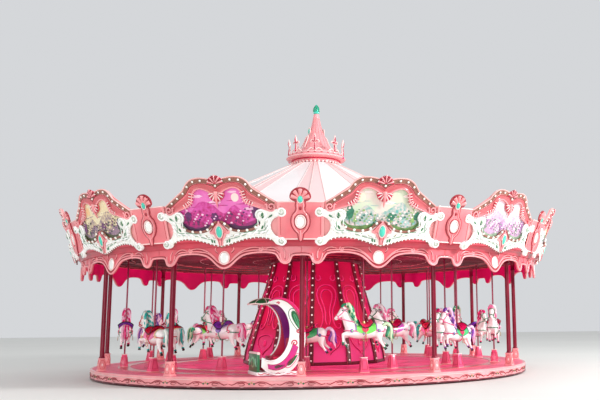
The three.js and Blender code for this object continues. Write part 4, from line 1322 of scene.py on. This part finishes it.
horse = {
    # stations of trunk, neck and head as (x, z, half depth, half width)
    "trunk": [
        (0.44, 1.1, 0.06, 0.06), (0.4, 1.115, 0.11, 0.1), (0.3, 1.1, 0.155, 0.145),
        (0.16, 1.075, 0.15, 0.145), (0, 1.06, 0.145, 0.14), (-0.14, 1.07, 0.155, 0.145),
        (-0.26, 1.1, 0.165, 0.14), (-0.33, 1.16, 0.14, 0.115)],
    "neck": [
        (-0.26, 1.16, 0.155, 0.105), (-0.34, 1.28, 0.12, 0.08), (-0.4, 1.4, 0.092, 0.062),
        (-0.42, 1.51, 0.072, 0.054), (-0.41, 1.585, 0.052, 0.046)],
    "head": [
        (-0.395, 1.57, 0.07, 0.056), (-0.46, 1.505, 0.082, 0.064), (-0.53, 1.43, 0.06, 0.048),
        (-0.585, 1.375, 0.046, 0.04), (-0.62, 1.34, 0.042, 0.04), (-0.632, 1.325, 0.022, 0.024)],
    # legs and ears as (x, y, z, half depth, half width)
    "legs": [
        [(-0.25, 0.07, 1.07, 0.085, 0.055), (-0.36, 0.078, 0.985, 0.058, 0.046),
         (-0.435, 0.078, 0.95, 0.04, 0.036), (-0.4, 0.078, 0.865, 0.026, 0.025),
         (-0.37, 0.078, 0.8, 0.027, 0.026), (-0.36, 0.078, 0.775, 0.02, 0.022)],
        [(-0.26, -0.07, 1.06, 0.085, 0.055), (-0.38, -0.078, 1.03, 0.058, 0.046),
         (-0.48, -0.078, 1.015, 0.04, 0.036), (-0.478, -0.078, 0.93, 0.026, 0.025),
         (-0.472, -0.078, 0.86, 0.027, 0.026), (-0.474, -0.078, 0.835, 0.02, 0.022)],
        [(0.3, 0.075, 1.07, 0.11, 0.062), (0.365, 0.08, 0.965, 0.07, 0.048),
         (0.405, 0.08, 0.885, 0.042, 0.036), (0.465, 0.08, 0.835, 0.027, 0.026),
         (0.51, 0.08, 0.795, 0.027, 0.026), (0.528, 0.08, 0.782, 0.02, 0.022)],
        [(0.3, -0.075, 1.07, 0.11, 0.062), (0.325, -0.08, 0.955, 0.07, 0.048),
         (0.345, -0.08, 0.865, 0.042, 0.036), (0.395, -0.08, 0.795, 0.027, 0.026),
         (0.435, -0.08, 0.745, 0.027, 0.026), (0.45, -0.08, 0.728, 0.02, 0.022)]],
    "ear": [
        (-0.385, 0.03, 1.61, 0.024, 0.016), (-0.388, 0.038, 1.65, 0.02, 0.012),
        (-0.398, 0.042, 1.69, 0.006, 0.006)],
    # muscles as place, radius and squash
    "middleMuscles": [((-0.31, 0, 1.1), 0.125, (0.85, 1, 1.15)), ((0.31, 0, 1.125), 0.14, (1, 1.05, 0.95))],
    "sideMuscles": [
        ((-0.455, 0.03, 1.475), 0.052, (1.1, 0.75, 1.2)), ((0.325, 0.075, 1.03), 0.085, (1.1, 0.75, 1.4)),
        ((-0.255, 0.075, 1.085), 0.08, (1, 0.7, 1.4))],
    # hooves: centre and the way down through each
    "hooves": [
        ((-0.352, 0.078, 0.757), (0.15, 0, -1)), ((-0.476, -0.078, 0.812), (-0.05, 0, -1)),
        ((0.548, 0.08, 0.766), (0.75, 0, -0.65)), ((0.466, -0.08, 0.706), (0.6, 0, -0.8))],
    "voxel": 0.012,
    "faces": 3800,
    # where the mane's locks start, and each tail lock's offset, end height and reach out
    "crest": [
        (-0.375, 1.64), (-0.345, 1.6), (-0.33, 1.545), (-0.318, 1.485), (-0.3, 1.425), (-0.275, 1.365),
        (-0.245, 1.305), (-0.21, 1.255)],
    "tail": [
        (0, 0.8, 0.04), (0.04, 0.86, 0), (-0.04, 0.84, 0.02), (0.02, 0.93, -0.06), (-0.02, 0.96, -0.03),
        (0, 0.9, 0.07), (0.03, 0.98, 0.05), (-0.03, 1.0, -0.07)],
    # rings of the bridle: centre, direction, half depth and half width
    "bridle": [
        ((-0.575, 1.385), (-0.62, -0.62), 0.056, 0.051), ((-0.43, 1.525), (-0.55, -0.75), 0.09, 0.07),
        ((-0.39, 1.545), (-0.2, 0.98), 0.078, 0.06)],
    # cheek strap, rein, breast strap and breeching
    "straps": [
        [(-0.575, 0.05, 1.39), (-0.5, 0.066, 1.455), (-0.43, 0.066, 1.53)],
        [(-0.592, 0.046, 1.36), (-0.5, 0.1, 1.335), (-0.36, 0.11, 1.3), (-0.22, 0.085, 1.27),
         (-0.12, 0.03, 1.275)],
        [(-0.15, 0.148, 1.08), (-0.26, 0.152, 1.085), (-0.36, 0.126, 1.095), (-0.425, 0.06, 1.095),
         (-0.437, 0, 1.095)],
        [(0.215, 0.15, 1.1), (0.32, 0.162, 1.08), (0.42, 0.11, 1.065), (0.452, 0, 1.065)]],
    "stirrup": [
        (-0.01, 0.172, 0.985), (-0.045, 0.178, 0.93), (-0.048, 0.18, 0.885), (0.028, 0.18, 0.885),
        (0.025, 0.178, 0.93)],
    "rosettes": [
        ((-0.3, 0.152, 1.09), 0.04), ((0.3, 0.165, 1.09), 0.038), ((-0.43, 0.072, 1.52), 0.02),
        ((-0.045, 0.166, 1.03), 0.026)],
    "blanketEnds": (-0.205, 0.25),
    "saddleEnds": (-0.135, 0.165),
    "collar": [(0.021, 1.235), (0.036, 1.235), (0.04, 1.245), (0.034, 1.262), (0.028, 1.29), (0.021, 1.292)],
    "pole": [(0, 0.4055), (0.0205, 0.4055), (0.0205, 3.1595), (0, 3.1595)],
    # the pattern of each horse in a row, a number in schemes
    "outer": [0, 1, 2, 3, 4, 0, 2, 1, 3, 4],
    "inner": [1, 2, 3, 0, 4, 2, 1, 3, 0, 2, 4, 3],
}
schemeParts = ("mane", "light", "saddle", "blanket", "strap", "boss")
schemes = [
    ((30, 150, 104), (206, 244, 196), (226, 44, 84), (120, 226, 96), (240, 120, 160), (150, 70, 190)),
    ((126, 50, 168), (248, 196, 226), (214, 20, 84), (60, 176, 104), (232, 60, 130), (126, 70, 176)),
    ((244, 120, 168), (255, 236, 240), (200, 16, 70), (210, 90, 190), (36, 110, 70), (250, 200, 210)),
    ((228, 40, 120), (250, 190, 214), (122, 50, 166), (246, 226, 230), (60, 160, 120), (236, 60, 110)),
    ((40, 180, 170), (238, 248, 236), (190, 16, 52), (236, 110, 160), (200, 40, 60), (240, 210, 150))]


def toSide(side, points):
    # points given for one side, put on the side of -1 or 1
    return [(x, side * y, *rest) for x, y, *rest in points]


def horseBody():
    # the parts are run together into one skin
    parts = [loft([(x, 0, z, h, w) for x, z, h, w in horse[limb]], sides)
             for limb, sides in (("trunk", 18), ("neck", 16), ("head", 14))]
    parts += [loft(leg, 12) for leg in horse["legs"]]
    parts += [ball(place, radius, white, squash, 16, 12) for place, radius, squash in horse["middleMuscles"]]
    for side in (-1, 1):
        parts += [ball((x, side * y, z), radius, white, squash, 12, 8)
                  for (x, y, z), radius, squash in horse["sideMuscles"]]
        parts.append(loft(toSide(side, horse["ear"]), 8))
    body = weld(parts)
    body.data.materials.clear()
    addModifier(body, "REMESH", mode="VOXEL", voxel_size=horse["voxel"])
    addModifier(body, "SMOOTH", factor=0.6, iterations=7)
    addModifier(body, "DECIMATE", ratio=min(1, horse["faces"] / (len(body.data.polygons) * 2)))
    bpy.ops.object.shade_smooth()
    return paintWith(body, horseWhite)


def onTrunk(x, turn, off):
    # a point that stands off the trunk's skin; the turn is from the top, in radians
    line = sorted(horse["trunk"])
    z, deep, wide = [follow([(s[0], s[k]) for s in line])(x) for k in (1, 2, 3)]
    return (x, (wide + off) * math.sin(turn), z + (deep + off) * math.cos(turn))


def saddleShape(t):
    return 46 + 16 * math.sin(math.pi * t), 0.014 + 0.07 * abs(2 * t - 0.95) ** 2.6


def drape(start, end, rows, shape, thick, material):
    # a strip over the horse's back; shape gives its reach in degrees down each side and its lift off
    # the skin, by share along
    count = 10
    mesh = bmesh.new()
    grid = []
    for i in range(rows):
        reach, lift = shape(i / (rows - 1))
        x = start + (end - start) * i / (rows - 1)
        grid.append([mesh.verts.new(onTrunk(x, math.radians(reach) * (2 * j / count - 1), lift))
                     for j in range(count + 1)])
    for here, after in zip(grid, grid[1:]):
        for j in range(count):
            mesh.faces.new((here[j], after[j], after[j + 1], here[j + 1]))
    obj = addModifier(fromMesh(mesh, 50), "SOLIDIFY", thickness=thick, offset=1)
    return paintWith(tidyMesh(obj, 50), material)


def hoop(centre, along, halfDepth, halfWidth):
    # a ring of points square to a direction in the horse's middle plane
    side = Vector((0, 1, 0))
    up = Vector((along[0], 0, along[1])).normalized().cross(side)
    middle = Vector((centre[0], 0, centre[1]))
    return [middle + up * halfDepth * math.cos(a) + side * halfWidth * math.sin(a) for a in turns(12)]


def finishHorse(number, skin):
    mane, light, saddle, blanket, strap, boss = [
        paint(f"horse {part} {number}", srgb(*color), vary=0.14, rough=0.26, coat=0.5, patch=8)
        for part, color in zip(schemeParts, schemes[number])]
    # dark and light locks by turns
    dark, pale = [], []
    for i, (x, z) in enumerate(horse["crest"]):
        for side in (-1, 1):
            sway = 0.012 * math.sin(i * 1.9 + side)
            lock = [(x - 0.018, 0.006, z + 0.01), (x + 0.034, 0.044, z + 0.012),
                    (x + 0.066 + sway, 0.082, z - 0.05), (x + 0.09 + sway, 0.092, z - 0.125),
                    (x + 0.07 + sway, 0.09, z - 0.185)]
            (dark if (i + (side > 0)) % 2 else pale).append((toSide(side, lock), [1, 1.5, 1.4, 1, 0.25]))
    forelock = [(-0.385, 0.012, 1.645), (-0.435, 0.02, 1.65), (-0.475, 0.026, 1.605), (-0.5, 0.024, 1.56)]
    dark += [(toSide(side, forelock), [0.9, 1, 0.8, 0.25]) for side in (-1, 0, 1)]
    for k, (dy, low, out) in enumerate(horse["tail"]):
        (dark if k % 2 else pale).append((
            [(0.415, dy * 0.4, 1.15), (0.475, dy * 0.8, 1.232), (0.55, dy * 1.2, 1.215),
             (0.595 + out * 0.5, dy * 1.4, 1.09), (0.575 + out, dy * 1.4, 0.97),
             (0.615 + out, dy * 1.1, low)],
            [0.8, 1.4, 1.6, 1.4, 1.1, 0.2]))
    parts = [
        twin(skin), rods(dark, 0.027, mane, 2, 0), rods(pale, 0.027, light, 2, 0),
        drape(*horse["blanketEnds"], 8, lambda t: (86 + 20 * math.sin(math.pi * t), 0.006), 0.01, blanket),
        drape(*horse["saddleEnds"], 10, saddleShape, 0.022, saddle),
        drape(-0.075, 0.07, 6, lambda t: (78 + 14 * math.sin(math.pi * t), 0.016), 0.01, saddle)]

    straps = [([(0.012, *onTrunk(0, a, 0.018)[1:]) for a in turns(16)], None, True)]
    straps += [(hoop(*ring), None, True) for ring in horse["bridle"]]
    straps += [(toSide(side, line),) for side in (-1, 1) for line in horse["straps"]]
    parts.append(rods(straps, 0.0115, strap, 1, 0))
    start, end = horse["saddleEnds"]
    rim = []
    for t, share in ([(0, s / 4) for s in range(-4, 5)] + [(t / 5, 1) for t in range(1, 5)]
                     + [(1, -s / 4) for s in range(-4, 5)] + [(1 - t / 5, -1) for t in range(1, 5)]):
        reach, lift = saddleShape(t)
        rim.append(onTrunk(start + (end - start) * t, math.radians(reach) * share, lift + 0.016))
    parts.append(rods([(rim, None, True)], 0.012, hoofBlack, 1, 0))
    for leg in horse["legs"]:
        cuff = [(x, y, z, deep + out, wide + out)
                for out, (x, y, z, deep, wide) in zip((0.006, 0.01), leg[-2:])]
        parts.append(paintWith(loft(cuff, 10), mane))
    trims = [([onTrunk(x, math.radians(-86 + 17.2 * i), 0.014) for i in range(11)],)
             for x in horse["blanketEnds"]]
    parts.append(rods(trims, 0.011, boss, 1, 0))
    for side in (-1, 1):
        for (x, y, z), size in horse["rosettes"]:
            parts += [
                ball((x, side * y, z), size, boss, (1, 0.35, 1), 8, 5),
                ball((x, side * (y + size * 0.28), z), size * 0.5, blanket, (1, 0.4, 1), 6, 4)]
        parts += [
            ball((-0.48, side * 0.06, 1.52), 0.0155, hoofBlack, (1, 0.6, 1)),
            ball((-0.618, side * 0.032, 1.345), 0.0085, darkRed, (1, 0.6, 1), 8, 5),
            rods([(toSide(side, horse["stirrup"]), None, True)], 0.006, oldGold, 2)]
    for place, down in horse["hooves"]:
        bpy.ops.mesh.primitive_cone_add(vertices=12, radius1=0.034, radius2=0.024, depth=0.046)
        hoof = bpy.context.object
        turn = Vector((0, 0, -1)).rotation_difference(Vector(down)).to_matrix().to_4x4()
        hoof.data.transform(Matrix.Translation(place) @ turn)
        parts.append(paintWith(tidyMesh(hoof, 40), hoofBlack))
    parts += [spun(horse["pole"], polePaint, 16, 60), spun(horse["collar"], oldGold, 16, closed=True)]
    return weld(parts)


def horses():
    skin = horseBody()
    patterns = [finishHorse(i, skin) for i in range(len(schemes))]
    for row, reach, angles in (("outer", outerRow, outerAngles), ("inner", innerRow, pilasterAngles)):
        for i, azimuth in enumerate(angles):
            node = f"{row}_horse_{i + 1:02}"
            high = (i % 2 == 0) == (row == "outer")
            copy = twin(patterns[horse[row][i]], "painted_" + node)
            settle(station(copy, reach, azimuth, 0.05 if high else -0.05), node, "horse_gloss", node)
    for model in [skin] + patterns:
        bpy.data.objects.remove(model)


horses()
print("horses done")


# Crescent seats

chariot = {
    "azimuths": [-7.5, 172.5],
    "half": 0.43,
    "side": 0.045,
    "yaw": 27,
    # the crescent's edges: centre, radii, first and last angle
    "outer": ((0, 0.79), (0.56, 0.78), 112, -128),
    "inner": ((-0.15, 0.88), (0.4, 0.59), -118, 104),
    "spine": [
        (0.395, 0.26), (0.475, 0.52), (0.502, 0.79), (0.472, 1.04), (0.375, 1.25), (0.2, 1.4),
        (-0.04, 1.485)],
    "canopy": [
        (0, 1.576), (0.06, 1.574), (0.12, 1.566), (0.2, 1.542), (0.27, 1.508), (0.315, 1.475),
        (0.328, 1.458), (0.316, 1.452), (0.26, 1.478), (0.18, 1.508), (0, 1.53)],
}


def arc(centre, radii, start, end, count=28):
    angles = [math.radians(start + (end - start) * i / (count - 1)) for i in range(count)]
    return [(centre[0] + radii[0] * math.cos(a), centre[1] + radii[1] * math.sin(a)) for a in angles]


def leaf(x, z, long, wide, tilt):
    return [tilted((x, z), long * math.cos(a), wide * math.sin(a) * (1 - 0.45 * math.cos(a)), tilt)
            for a in turns(14)]


def crescent():
    # one painted side, at the front
    half, thick = chariot["half"], chariot["side"]
    outer, inner = arc(*chariot["outer"]), arc(*chariot["inner"])

    def across(first, last, share, step=1):
        # a line at a share of the way from the outer edge to the inner one
        return [(ax + (bx - ax) * share, az + (bz - az) * share)
                for (ax, az), (bx, bz) in list(zip(outer, reversed(inner)))[first:last:step]]

    def onFace(points):
        return [(x, -half - 0.001, z) for x, z in points]

    face = plate([outer + inner], half - thick, thick, white, 0.012)
    for polygon in face.data.polygons:
        polygon.material_index = int(polygon.normal.y > 0.9)
    parts = [paintWith(face, white, crimson)]
    for outline, ink in (
            (across(0, 12, 0.02) + across(0, 12, 0.2)[::-1], hotPink),
            (across(15, 26, 0.36) + across(15, 26, 0.7)[::-1], orchid),
            (leaf(0.372, 1.115, 0.215, 0.06, -67), leafGreen), (leaf(0.3, 0.3, 0.15, 0.042, 44), leafGreen),
            (leaf(0.035, 0.185, 0.12, 0.034, 12), leafGreen),
            (leaf(0.465, 0.745, 0.085, 0.024, -84), hotPink)):
        parts.append(plate([outline], half - 0.001, 0.006, ink, 0.002))
    for line, ink, size in (
            (leaf(0.36, 1.11, 0.262, 0.094, -66), leafGreen, 0.0075),
            (leaf(0.38, 1.1, 0.15, 0.018, -67), fern, 0.01),
            (leaf(0.3, 0.3, 0.195, 0.066, 44), hotPink, 0.0075)):
        parts.append(rods([(onFace(line), None, True)], size, ink, 2))
    for line, ink, size in (
            (outer[:14:2], hotPink, 0.022), (outer[12::2], white, 0.02), (inner[::2], white, 0.018),
            (across(15, 26, 0.34, 2), darkRed, 0.007), (across(15, 26, 0.72, 2), darkRed, 0.007),
            (across(0, 12, 0.22, 2), darkRed, 0.008)):
        parts.append(rods([(onFace(line), [0.6] + [1] * (len(line) - 2) + [0.6])], size, ink))
    curls = [(onFace([(x, z) for x, y, z in spiral(*curl)]), [0.7] + [1] * 8 + [0.7]) for curl in (
        ((0.345, 0.645), 0.07, 1.3, 200, 0, -1), ((0.435, 0.9), 0.052, 1.3, 160, 0, 1),
        ((-0.02, 1.455), 0.04, 1.2, 20, 0, 1))]
    return parts + [rods(curls, 0.013, crimson)]


def seatBack():
    # the curved back between the crescents, violet inside and white outside, and its wide linings
    half, thick = chariot["half"], chariot["side"]
    spine = smoothLine(chariot["spine"], 5)
    wide = half - thick - 0.002
    last = len(spine) - 1
    rings = []
    for i, (x, z) in enumerate(spine):
        a, b = spine[max(i - 1, 0)], spine[min(i + 1, last)]
        along = Vector((b[0] - a[0], 0, b[1] - a[1])).normalized()
        out = Vector((along.z, 0, -along.x))
        rings.append([Vector((x, 0, z)) + out * s * 0.022 + Vector((0, y, 0))
                      for s, y in ((1, -wide), (1, wide), (-1, wide), (-1, -wide))])
    back = skinOver(rings, 40, [0, 0, 1, 0])
    lining = ribbon([(x - 0.024, z) for x, z in spine],
                    [(x - 0.06 - 0.15 * math.sin(math.pi * i / last), z) for i, (x, z) in enumerate(spine)],
                    [(0, -0.034), (0, 0), (1, 0), (1, -0.01)])
    moved(paintWith(lining, violet), (0, -half + thick + 0.034, 0))
    return [paintWith(back, white, violet), lining, mirrored(lining)]


def canopy():
    # the round roof on the upper horn
    rim = [(0.324 * math.cos(a), 0.324 * math.sin(a), 1.458 + 0.006 * math.cos(8 * a)) for a in turns(32)]
    ribs = [([(r * math.cos(a), r * math.sin(a), z) for r, z in
              ((0.02, 1.578), (0.12, 1.569), (0.22, 1.537), (0.3, 1.49), (0.322, 1.465))],) for a in turns(8)]
    whole = weld([
        spun(chariot["canopy"], leafGreen, 40, 50), rods([(rim, None, True)], 0.015, blush, 2),
        rods(ribs, 0.007, blush, 2), ball((0, 0, 1.574), 0.03, oldGold, (1, 1, 0.8), 12, 8)])
    return moved(whole, (-0.23, 0, 0))


def crescentSeat():
    parts = crescent()
    parts += [mirrored(part) for part in parts]
    parts += seatBack()
    for size, place, bevel, ink in (
            ((0.84, 0.86, 0.07), (-0.02, 0, 0.0355), 0.01, white),
            ((0.46, 0.766, 0.26), (0.15, 0, 0.205), 0.014, crimson),
            ((0.4, 0.355, 0.045), (0.11, -0.19, 0.352), 0.02, crimson),
            ((0.4, 0.355, 0.045), (0.11, 0.19, 0.352), 0.02, crimson),
            ((0.05, 0.7, 0.34), (0.375, 0, 0.57), 0.02, crimson),
            ((0.06, 0.8, 0.37), (-0.4, 0, 0.255), 0.016, leafGreen)):
        parts.append(block(size, place, bevel, ink))
    # the shield, the roll and the waves on the dash, and the waves along the plinth
    parts += [
        ball((-0.428, 0, 0.262), 1, fern, (0.012, 0.2, 0.115), 20, 10),
        ball((-0.434, 0, 0.262), 1, leafGreen, (0.013, 0.11, 0.075), 16, 8),
        rods([([(-0.4, y, 0.445) for y in (-0.4, -0.2, 0, 0.2, 0.4)],)], 0.032, blush)]
    for s in (-1, 1):
        wave = [(-0.434, s * (0.23 + 0.05 * k), 0.25 + 0.09 * math.sin(k * 1.9)) for k in range(4)]
        parts.append(rods([(wave, [0.5, 1, 1, 0.5])], 0.014, sage))
        wave = [(-0.42 + 0.07 * k, s * 0.431, 0.038 + 0.014 * math.cos(k * math.pi)) for k in range(13)]
        parts.append(rods([(wave,)], 0.008, crimson, 2))
    return weld(parts + [canopy()])


def chariots():
    seat = crescentSeat()
    for i, azimuth in enumerate(chariot["azimuths"]):
        node = f"chariot_{i + 1:02}"
        copy = turned(twin(seat, "crescent_" + node), chariot["yaw"])
        settle(station(copy, outerRow, azimuth, deckTop + 0.0106), "turntable", "white_gloss", node)
    bpy.data.objects.remove(seat)


chariots()
print("chariots done")


# Floor, light and camera

def stage():
    bpy.ops.mesh.primitive_plane_add(size=120, location=(0, 0, 0))
    floor = bpy.context.object
    floor.name = "floor"
    paintWith(floor, paint("floor", srgb(226, 226, 222), rough=0.7, coat=0, vary=0.02, patch=0.2, bump=0.02))

    world = bpy.data.worlds.new("studio")
    world.use_nodes = True
    wire(world.node_tree.nodes["Background"], {"Color": (0.95, 0.97, 1, 1), "Strength": 0.7})
    bpy.context.scene.world = world

    for name, place, size, power in (
            ("key", (27, -14, 15), 6, 9800), ("front", (-4, -27, 2.6), 9, 1500),
            ("side", (-24, -14, 12), 12, 1200)):
        bpy.ops.object.light_add(type="AREA", location=place)
        light = bpy.context.object
        light.name = name
        light.data.size = size
        light.data.energy = power
        light.rotation_euler = (Vector((0, 0, 2.5)) - Vector(place)).to_track_quat("-Z", "Y").to_euler()
    # soft lamps under the roof
    for azimuth in around(6):
        bpy.ops.object.light_add(type="POINT", location=onRing(2.95, azimuth, 2.35))
        light = bpy.context.object
        light.name = "roof lamp"
        light.data.energy = 80
        light.data.shadow_soft_size = 0.5
        light.visible_camera = False
        light.visible_glossy = False


camera = {
    "place": (0.998, -21.327, 1.344),
    "right": (0.99783, -0.06505, -0.01027),
    "up": (-0.00007, -0.15699, 0.9876),
    "focal": 45.606,
    "shift": -0.1688,
}


def setCamera():
    data = bpy.data.cameras.new("camera")
    data.sensor_width = 36
    data.lens = camera["focal"]
    data.shift_x = camera["shift"]
    data.clip_end = 200
    obj = linkNew(data, "camera")
    right = Vector(camera["right"]).normalized()
    up = Vector(camera["up"])
    up = (up - right * up.dot(right)).normalized()
    turn = Matrix((right, up, right.cross(up))).transposed().to_4x4()
    obj.matrix_world = Matrix.Translation(camera["place"]) @ turn
    bpy.context.scene.camera = obj


stage()
setCamera()
bpy.context.scene.view_settings.view_transform = "Standard"
print("stage and camera done")
